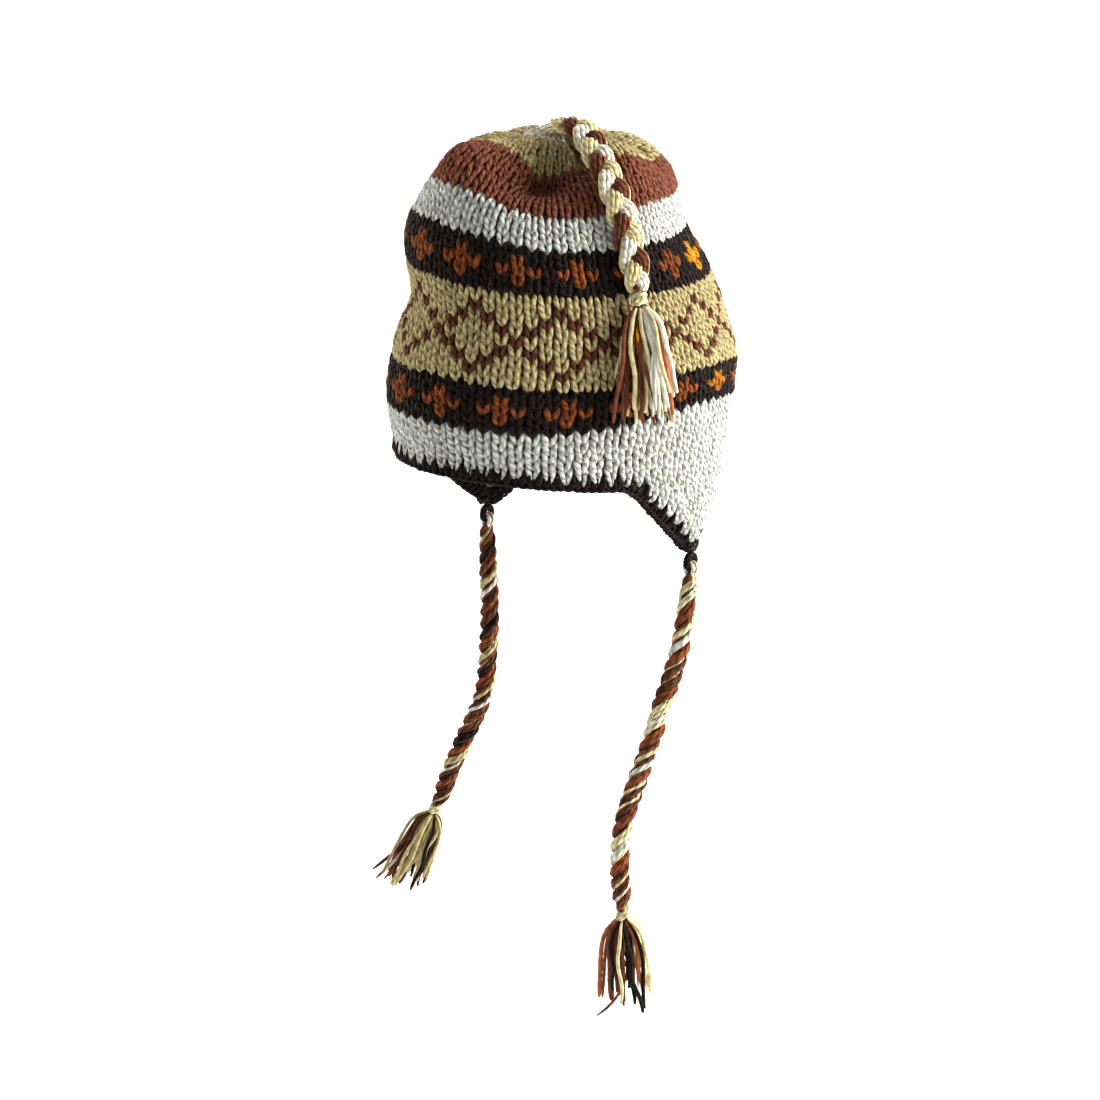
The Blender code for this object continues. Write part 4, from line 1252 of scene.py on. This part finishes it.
# Places of the yarns in a bundle, in yarn radii: across it, and towards its face.
FIVE_YARNS = np.array([(-1.25, 0.30), (0.0, 1.05), (1.25, 0.30), (-0.80, -0.85), (0.80, -0.85)])
SEVEN_YARNS = np.array(
    [
        (-1.95, 0.45),
        (0.0, 0.95),
        (1.95, 0.45),
        (-2.75, -0.70),
        (-0.95, -0.80),
        (0.95, -0.80),
        (2.75, -0.70),
    ]
)
FULLNESS = 1.26  # half width of a plait's yarn as a share of its CAD radius
ROPE_ROLL = 2.3  # radians that a rope's bundle turns about itself in one pitch
ROPE_REACH = 0.60  # distance of a rope's bundles from its middle as a share of its CAD radius
ROPE_HEAD = (0.50, 0.05)  # a rope is drawn in at its head: least share, over this share of it
FOOT = (0.50, 0.06)  # and every plait at its foot
LOOSE_DRAW = 0.22  # a rope's loose share is narrower by up to this
THREADED = np.array([-0.8, 0.0, 0.8])[:, None]  # places of the yarns that pass through a loop


def eased(share):
    """From 0 to 1 as a quarter of a sine."""
    return np.sin(np.clip(share, 0, 1) * math.pi / 2)


def thread_loop(skein, ring, yarn):
    """Three yarns through a tip loop in an upturned U, whose legs draw together below it."""
    t = np.linspace(-0.9, math.pi + 0.9, 18)
    reach = LOOP_YARN + yarn * 0.9
    tail = np.clip(np.abs(t - math.pi / 2) - math.pi / 2, 0, 1)
    x = reach * np.cos(t) * (1 - 0.6 * tail)
    y = THREADED * yarn * 1.3 * (1 - 0.5 * tail)
    z = reach * np.sin(t) - LOOP_RADIUS - 0.0025 * tail
    path = ring + np.stack(np.broadcast_arrays(x, y, z), -1)
    across, thick = strand_axes(path, np.array([0.0, 1.0, 0.0]))
    size = np.full(path.shape[:2], yarn)
    dye = np.array([DYES["pale"], DYES["brown"], DYES["cream"]])
    skein.add(path, across, thick, size, size, dye, sides=7)


def plait(name, line, side, radius, plan):
    """Three bundles of side-by-side yarns. At phase p a bundle's middle lies wide A sin(p) and
    deep B sin(2p), or in a rope wide A sin(p) and deep A cos(p). The bundles are a third of a
    turn apart. Each yarn keeps its place in its bundle, and a rope's bundles roll. The ends are
    drawn in, and a rope is narrower over its loose share at the top."""
    rng = np.random.default_rng(plan["seed"])
    yarn, pitch, places, rope = (plan[key] for key in ("yarn", "pitch", "places", "rope"))
    wide, deep = plait_axes(line, side)
    run = run_along(line)
    share = run / run[-1]
    drawn = FOOT[0] + (1 - FOOT[0]) * eased((1 - share) / FOOT[1])
    if rope:
        drawn = (ROPE_HEAD[0] + (1 - ROPE_HEAD[0]) * eased(share / ROPE_HEAD[1])) * drawn
        drawn = drawn * (1 - LOOSE_DRAW * np.clip(1 - share / plan["loose"], 0, 1))
    half, thick = (np.abs(places).max(axis=0) + 1) * yarn
    swing = radius * FULLNESS - half
    sink = thick * 1.02
    count = len(places)
    skein = Skein()
    for bundle in range(3):
        uneven = 0.05 * np.sin(TAU * (run / (pitch * 2.3) + rng.random()))
        phase = TAU * (run / pitch + bundle / 3) + uneven * TAU * 0.5
        if rope:
            face = deep * np.cos(phase)[:, None] + wide * np.sin(phase)[:, None]
            centre = line + face * (radius * ROPE_REACH * drawn)[:, None]
            roll = ROPE_ROLL * run / pitch + bundle
        else:
            face = deep
            centre = line + wide * (swing * np.sin(phase) * drawn)[:, None]
            centre = centre + deep * (sink * np.sin(2 * phase) * drawn)[:, None]
            roll = np.zeros(len(run))
        over = unit(np.cross(unit(np.gradient(centre, axis=0)), face))
        wander = 0.12 * np.sin(TAU * (run / (pitch * 1.3) + rng.random((count, 1))))
        beside = places[:, :1] * np.cos(roll) - places[:, 1:] * np.sin(roll)
        above = places[:, :1] * np.sin(roll) + places[:, 1:] * np.cos(roll)
        path = centre + over * ((beside + wander) * yarn * drawn)[..., None]
        path = path + face * (above * yarn * drawn)[..., None]
        ahead = unit(np.gradient(path, axis=1))
        across = unit(np.cross(np.broadcast_to(face, path.shape), ahead))
        size = yarn * (1 + 0.05 * np.sin(run * 900 + rng.random((count, 1)) * 9))
        size = size * (0.75 + 0.25 * drawn)
        tint = np.array([DYES[dye] for dye in plan["dyes"][bundle]])
        tint = tint * (1 + rng.normal(0, 0.08, (count, 1)))
        start = rng.random(count) * 20
        deeper = np.cross(ahead, across)
        skein.add(path, across, deeper, size, size * 0.95, tint, sides=7, start=start)
    if rope:
        thread_loop(skein, plan["ring"], yarn)
    return skein.mesh(name, WOOL_PLAIT)


def cross_axes(direction):
    """Two directions square to the given one."""
    first = unit(np.cross(direction, np.array([1.0, 0.0, 0.0])))
    return first, np.cross(direction, first)


SNUG = 0.52  # radius of a winding as a share of its plait's
WIND_CROWD = 1.12  # the winding's yarn overlaps its neighbours by this
KNOT_FACE = (0.62, -0.79, 0.0)  # the side of a winding where its end is tucked over


def winding(name, start, way, radius, plan):
    """Yarn wound in a tight helix from start along way, round a core. Its end crosses the front
    as one wave of a sine."""
    rng = np.random.default_rng(plan["seed"] + 1)
    length, turns = plan["wrap"], plan["turns"]
    tint = DYES["cream"][None]
    first, second = cross_axes(way)
    yarn = length / turns / 2 * WIND_CROWD
    t = np.linspace(0, 1, 24 * turns)
    angle = TAU * turns * t + rng.random() * TAU
    reach = radius * SNUG - yarn * 0.55 + 0.0003 * np.sin(angle * 0.37)
    middle = start + way * (FIT_GAP + yarn + (length - 2 * yarn) * t)[:, None]
    out = first * np.cos(angle)[:, None] + second * np.sin(angle)[:, None]
    centre = (middle + out * reach[:, None])[None]
    across, deep = strand_axes(centre, out[None])
    size = np.full(centre.shape[:2], yarn)
    skein = Skein()
    skein.add(centre, across, deep, size, size, tint, sides=8)
    face = unit(np.array(KNOT_FACE))
    t = np.linspace(0, 1, 16)[:, None]
    side = unit(np.cross(face, way))
    end = start + way * (length * (0.25 + 0.5 * t)) + side * (yarn * 1.6 * np.sin(TAU * t))
    end = (end + face * (radius * SNUG + yarn * 0.35))[None]
    across, deep = strand_axes(end, face)
    size = np.full(end.shape[:2], yarn * 0.9)
    skein.add(end, across, deep, size, size, tint * 0.95, sides=8)
    # painted shade: the core under the winding is its yarn at half brightness
    core = (start + way * (length * np.linspace(-0.1, 1.1, 6))[:, None])[None]
    across, deep = strand_axes(core, first)
    size = np.full(core.shape[:2], radius * SNUG - yarn * 1.1)
    skein.add(core, across, deep, size, size, tint * 0.5, sides=10)
    return skein.mesh(name, WOOL_WIND)


GOLDEN_TURN = 0.381966  # share of a turn between one strand of a tassel and the next
STRAND_YARN = 0.00112
STRAND_SHAPE = ([0, 0.12, 0.6, 0.92, 1.0], [0.70, 0.95, 1.08, 0.95, 0.65])
CURL_SHAPE = ([0, 0.1, 0.9, 1.0], [0.7, 1.0, 0.95, 0.4])
TASSEL_CORE = np.array([[0.45, 0.55, 0.60, 0.55, 0.40, 0.20]])
SHORTEST = 0.74  # shortest strand as a share of the tassel's length
OPENING = 9  # how fast a tassel opens: its strands are spread by 1 - e^(-9t)


def tassel(name, start, way, wall, radius, plan):
    """Loose yarns below a winding. A strand's distance from the axis opens fast and then slowly:
    its own share of (1 - e^(-9t)) spread, and a lean. It bends sideways with the square of its
    run and waves a little. Dyes are read round the axis. wall is the outward direction of what
    the tassel lies on, which takes away the lean towards it. The plan's curls are extra strands:
    dye, reach, girth, and how far the middle and the end move aside."""
    rng = np.random.default_rng(plan["seed"] + 2)
    length, dyes, strands = plan["length"], plan["strands"], plan["count"]
    each = (strands, 1)
    first, second = cross_axes(way)
    t = np.linspace(0, 1, 24)[None, :]
    spin = TAU * ((np.arange(strands) * GOLDEN_TURN + rng.random(strands) * 0.10) % 1.0)[:, None]
    depth = np.sqrt((np.arange(strands) + 0.5) / strands)[:, None]
    away = first * np.cos(spin)[..., None] + second * np.sin(spin)[..., None]
    side = -first * np.sin(spin)[..., None] + second * np.cos(spin)[..., None]
    inward = np.minimum(0.0, away @ wall)[..., None]
    away = away - inward * PRESS * wall
    lean = 0.01 + 0.05 * depth + rng.normal(0, 0.035, each)
    reach = SHORTEST + (1 - SHORTEST) * rng.random(each) ** 0.7
    bend = rng.normal(0, 0.065, each)
    run = length * reach
    beat = 0.8 + 1.1 * rng.random(each)
    wave = 0.0009 * np.sin(TAU * (t * beat + rng.random(each))) * np.minimum(t * 3, 1)
    line = start + way * (FIT_GAP + run * t)[..., None]
    out = radius * SNUG * 0.75 * depth + run * lean * t
    out = out + plan["spread"] * depth * (1 - np.exp(-OPENING * t))
    line = line + away * out[..., None] + side * (run * bend * t**2 + wave)[..., None]
    size = STRAND_YARN * (1 + rng.normal(0, 0.10, each)) * np.interp(t, *STRAND_SHAPE)
    size = size * (1 + 0.06 * np.sin(t * 60 + spin))
    sector = (spin[:, 0] / TAU * len(dyes)).astype(int) + rng.choice((0, 0, 0, 1, 1, 6), strands)
    tint = np.array([DYES[dyes[k % len(dyes)]] for k in sector])
    tint = tint * (1 + rng.normal(0, 0.10, each))
    across, deep = strand_axes(line, first)
    skein = Skein()
    skein.add(line, across, deep, size, size * 0.9, tint, sides=8, start=rng.random(strands) * 30)
    for dye, far, girth, middle, last in plan["curls"]:
        s = t[0][:, None]
        path = start + way * (FIT_GAP + length * far * s)
        path = path + np.array(middle) * (1 - (2 * s - 1) ** 2)
        path = (path + np.array(last) * s**2)[None]
        across, deep = strand_axes(path, first)
        size = STRAND_YARN * girth * np.interp(t, *CURL_SHAPE)
        skein.add(path, across, deep, size, size, DYES[dye][None], sides=8)
    # painted shade: the tassel's core is a dark brown filler inside its head
    core = (start + way * (length * np.linspace(-0.02, 0.12, 6))[:, None])[None]
    across, deep = strand_axes(core, first)
    size = radius * TASSEL_CORE
    skein.add(core, across, deep, size, size, DYES["brown"][None] * 0.4, sides=10)
    return skein.mesh(name, WOOL_TASSEL)


HAIR_ROOT = 0.0003  # height over the cloth where a hair begins
HAIR_LENGTH = (0.0025, 0.0050)  # shortest, and up to this much longer
HAIR_RISE = (0.15, 0.33)  # height as a share of the length: least, and up to this much more
HAIR_GIRTH = 0.000050 * np.array([1.0, 1.0, 0.9, 0.75, 0.4])


def halo(name, surface, columns, rows, count, dye, seed):
    """Fine hairs that stand off the cloth. A hair runs along the cloth in a random direction,
    rises as a half sine and sways as a sine. surface and dye read columns and rows."""
    rng = np.random.default_rng(seed)
    t = np.linspace(0, 1, len(HAIR_GIRTH))[None, :, None]
    c = rng.random(count) * columns
    r = rng.random(count) * rows
    out = np.full(count, HAIR_ROOT)
    root = surface(c, r, out)
    over, upward = (unit(step) for step in cloth_axes(surface, c, r, out))
    outward = unit(np.cross(over, upward))
    heading = rng.random((count, 1)) * TAU
    run = over * np.cos(heading) + upward * np.sin(heading)
    sway = np.cross(outward, run)
    size = HAIR_LENGTH[0] + HAIR_LENGTH[1] * rng.random((count, 1, 1)) ** 2
    rise = HAIR_RISE[0] + HAIR_RISE[1] * rng.random((count, 1, 1))
    beat = rng.random((count, 1, 1))
    path = root[:, None] + size * (
        run[:, None] * t
        + outward[:, None] * rise * np.sin(math.pi * 0.85 * t)
        + sway[:, None] * 0.22 * (np.sin(TAU * (t * 0.9 + beat)) - np.sin(TAU * beat))
    )
    across, deep = strand_axes(path, outward[:, None])
    thick = np.broadcast_to(HAIR_GIRTH, path.shape[:2])
    skein = Skein()
    skein.add(path, across, deep, thick, thick, dye(c, r) * 0.85 + 0.07, sides=3)
    return skein.mesh(name, WOOL_HAIR)


def hang(piece, node):
    """A piece that rides with the hat and stands for a CAD node."""
    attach(piece, "root")
    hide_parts(node)
    return piece


def braid_set(prefix, node, route, plan):
    """A plait with its winding and its tassel."""
    radius, wrap = plan["radius"], plan["wrap"]
    line = through(route, plan["stations"])
    coarse = through(route, plan["cad_count"])
    way = unit(coarse[-1] - coarse[-2])
    cord = plait(prefix + "_plait", line, plan["side"], radius, plan)
    wind = winding(prefix + "_winding", line[-1], way, radius, plan)
    start = line[-1] + way * (FIT_GAP + wrap)
    wall = plan["wall"] * unit(start * np.array([1.0, 1.0, 0.0]))
    locks = tassel(prefix + "_strands", start, way, wall, radius, plan)
    hang(cord, node)
    hang(wind, prefix + "_tassel_tie")
    hang(locks, prefix + "_tassel")
    2 * radius


# The plan of a plait: points along it, and along its line in the CAD part; its radius, its
# wound length and its tassel's length; the direction across it, and how far the wall beside it
# holds the tassel off; one pitch of its bundles, a yarn's radius and the yarns' places; whether
# it is laid up as a rope, the loose share of its run, and the ring that it hangs from; the dyes
# of its bundles; turns of the winding; the dyes, number and spread of the tassel's strands, and
# its curls.
TOP_PLAN = {
    "stations": 121,
    "cad_count": 16,
    "radius": BRAID_RADIUS,
    "wrap": TOP_WRAP,
    "length": TOP_TASSEL,
    "side": np.array([-0.367, -0.93, 0.0]),
    "wall": 1.0,
    "pitch": 0.036,
    "yarn": 0.00124,
    "places": SEVEN_YARNS,
    "rope": False,
    "seed": 11,
    "dyes": (
        ("pale", "pale", "pale", "pale", "pale", "pale", "cream"),
        ("walnut", "walnut", "brown", "cream", "walnut", "walnut", "walnut"),
        ("cream", "cream", "khaki", "khaki", "cream", "cream", "cream"),
    ),
    "turns": 3,
    "strands": ("walnut", "rust", "khaki", "brown", "cream", "copper", "pale", "cream"),
    "count": 50,
    "spread": 0.0090,
    "curls": (
        ("cream", 0.62, 0.9, (-0.004, -0.003, 0.0), (-0.012, -0.010, 0.0)),
        ("cream", 0.50, 0.9, (-0.005, -0.004, 0.0), (-0.008, -0.008, 0.0)),
        ("gold", 0.42, 1.15, (0.003, -0.0065, 0.0), (0.001, -0.003, 0.0)),
    ),
}
TIE_PLAN = {
    "stations": 161,
    "radius": TIE_RADIUS,
    "wrap": TIE_WRAP,
    "length": TIE_TASSEL,
    "side": np.array([-0.79, -0.62, 0.0]),
    "wall": 0.0,
    "pitch": 0.0235,
    "yarn": 0.00122,
    "places": FIVE_YARNS,
    "rope": True,
    "loose": 0.16,
    "turns": 2,
    "count": 32,
}
LEFT_PLAN = TIE_PLAN | {
    "cad_count": 22,
    "ring": loop_centre(1),
    "seed": 21,
    "dyes": (
        ("russet", "walnut", "russet", "russet", "walnut"),
        ("pale", "brown", "brown", "pale", "cream"),
        ("cream", "walnut", "brown", "cream", "cream"),
    ),
    "strands": ("walnut", "russet", "brown", "russet", "cream", "cream", "dark", "copper"),
    "spread": 0.0100,
    "curls": (
        ("walnut", 1.28, 0.75, (0.004, 0.002, -0.004), (-0.014, -0.012, 0.005)),
        ("cream", 0.82, 0.95, (0.006, 0.005, 0.0), (0.006, 0.005, 0.0)),
    ),
}
RIGHT_PLAN = TIE_PLAN | {
    "cad_count": 18,
    "ring": loop_centre(-1),
    "seed": 31,
    "dyes": (
        ("brown", "walnut", "russet", "russet", "brown"),
        ("pale", "brown", "dark", "brown", "dark"),
        ("khaki", "brown", "brown", "khaki", "walnut"),
    ),
    "strands": ("brown", "walnut", "brown", "cream", "dark", "khaki", "walnut", "khaki"),
    "spread": 0.0092,
    "curls": (
        ("cream", 0.60, 0.85, (0.006, 0.004, 0.0), (0.002, 0.002, 0.0)),
        ("walnut", 0.98, 0.95, (-0.002, -0.001, 0.0), (-0.011, -0.009, 0.003)),
        ("brown", 0.90, 0.95, (-0.003, -0.002, 0.0), (-0.014, -0.011, 0.005)),
        ("russet", 0.95, 0.95, (-0.001, -0.001, 0.0), (-0.008, -0.006, 0.001)),
        ("pale", 0.86, 0.90, (-0.001, -0.002, 0.0), (-0.009, -0.008, 0.002)),
    ),
}
braid_set("top", "top_braid", TOP_ROUTE, TOP_PLAN)
braid_set("left", "left_tie", tie_route(1, LEFT_ROUTE), LEFT_PLAN)
braid_set("right", "right_tie", tie_route(-1, RIGHT_ROUTE), RIGHT_PLAN)

# ---------------------------------------------------------------- crown, flaps, edging
SIDES = ((1, "left"), (-1, "right"))
# The crown's pieces of stitches: name, and the bands in each.
KNITS = (
    ("white_lower", (0,)),
    ("stars_lower", (1,)),
    ("diamonds", (2,)),
    ("stars_upper", (3,)),
    ("white_upper", (4,)),
    ("rust_ring", (5,)),
    ("top", (6, 7, 8, 9)),
)
CROWN_HAIRS = 4800
FLAP_HAIRS = 140

backing = hang(knit_back(), "crown")
bands = [hang(knit_band("knit_" + name, which), "crown") for name, which in KNITS]
for side, word in SIDES:
    node = "earflap_" + word
    plate = hang(flap_back(side, "flap_back_" + word), node)
    stitches = hang(knit_flap(side, "flap_knit_" + word), node)
    hang(crochet_loop(side, "loop_" + word), "tip_loop_" + word)
hang(crochet_edging(), "edging")


def whole_cloth(c, r, out):
    """The crown in shares of a turn and rows from the rim."""
    return crown_point(c, level(c, r), out)


def flap_share(side):
    """A flap in shares of its width and of its drop from the tip up."""

    def surface(c, r, out):
        return flap_point(side, side * (2 * c - 1), 1 - r, out)

    return surface


def white_dye(c, r):
    """The dye of both flaps, for each column and row."""
    return np.broadcast_to(DYES["white"], c.shape + (3,))


hairs = halo("knit_halo", whole_cloth, 1.0, ROW_TOTAL - 2, CROWN_HAIRS, dye_grid, 3)
hang(hairs, "crown")
for side, word in SIDES:
    hairs = halo("flap_halo_" + word, flap_share(side), 1.0, 0.9, FLAP_HAIRS, white_dye, 4)
    hang(hairs, "earflap_" + word)

# ---------------------------------------------------------------- floor and light
FLOOR_LEVEL = -0.335
FLOOR_HALF = 200.0
FLOOR_CORNERS = ((-1, -1), (1, -1), (1, 1), (-1, 1))
FLOOR_DYES = ((0.90, 0.90, 0.895, 1.0), (0.93, 0.93, 0.93, 1.0))
ROOM_DYE = (0.97, 0.985, 1.0, 1.0)
BRIGHT_SIDE = (0.15, 0.98, -0.02)  # the room is brightest behind the hat
DIM_ROOM = 0.195  # strengths away from the bright side and towards it
BRIGHT_ROOM = 0.95
ROOM_SLOPE = 0.6  # how fast the room brightens, and how its rise is bent
ROOM_BEND = 1.4
# Soft lamps far away: name, direction they shine from, strength, angle in degrees.
SUNS = (
    ("soft_right", (1.0, 0.72, 0.44), 5.4, 46),
    ("soft_left", (-1.0, 0.05, 0.45), 3.0, 40),
)


def studio():
    """A pale floor, a room brighter behind the hat, and two soft lamps."""
    bench = Bench("pale_floor")
    place = bench.add("ShaderNodeTexCoord", {}, {}, out=3)
    grain = bench.noise(place, 3.0, 2.0)
    colour = bench.blend(grain, *FLOOR_DYES)
    bench.feed(bench.shader, {"Base Color": colour, "Roughness": 0.9})
    mesh = bpy.data.meshes.new("floor")
    corners = [(x * FLOOR_HALF, y * FLOOR_HALF, FLOOR_LEVEL) for x, y in FLOOR_CORNERS]
    mesh.from_pydata(corners, [], [(0, 1, 2, 3)])
    mesh.materials.append(bench.material)
    floor = bpy.data.objects.new("floor", mesh)
    bpy.context.scene.collection.objects.link(floor)
    room = Bench("soft_room", "worlds", "Background")
    way = room.add("ShaderNodeTexCoord", {}, {})
    lit = room.add(
        "ShaderNodeVectorMath", {"operation": "DOT_PRODUCT"}, {0: way, 1: BRIGHT_SIDE}, out=1
    )
    glow = (lit * ROOM_SLOPE + 0.5).clamp().power(ROOM_BEND)
    strength = DIM_ROOM + glow * (BRIGHT_ROOM - DIM_ROOM)
    room.feed(room.shader, {"Color": ROOM_DYE, "Strength": strength})
    bpy.context.scene.world = room.material
    for name, place, power, spread in SUNS:
        data = bpy.data.lights.new(name, "SUN")
        data.energy = power
        data.angle = math.radians(spread)
        item = bpy.data.objects.new(name, data)
        item.rotation_euler = (-Vector(place)).to_track_quat("-Z", "Y").to_euler()
        bpy.context.scene.collection.objects.link(item)
    bpy.context.scene.view_settings.view_transform = "Standard"
    bpy.context.scene.view_settings.look = "Medium High Contrast"


studio()
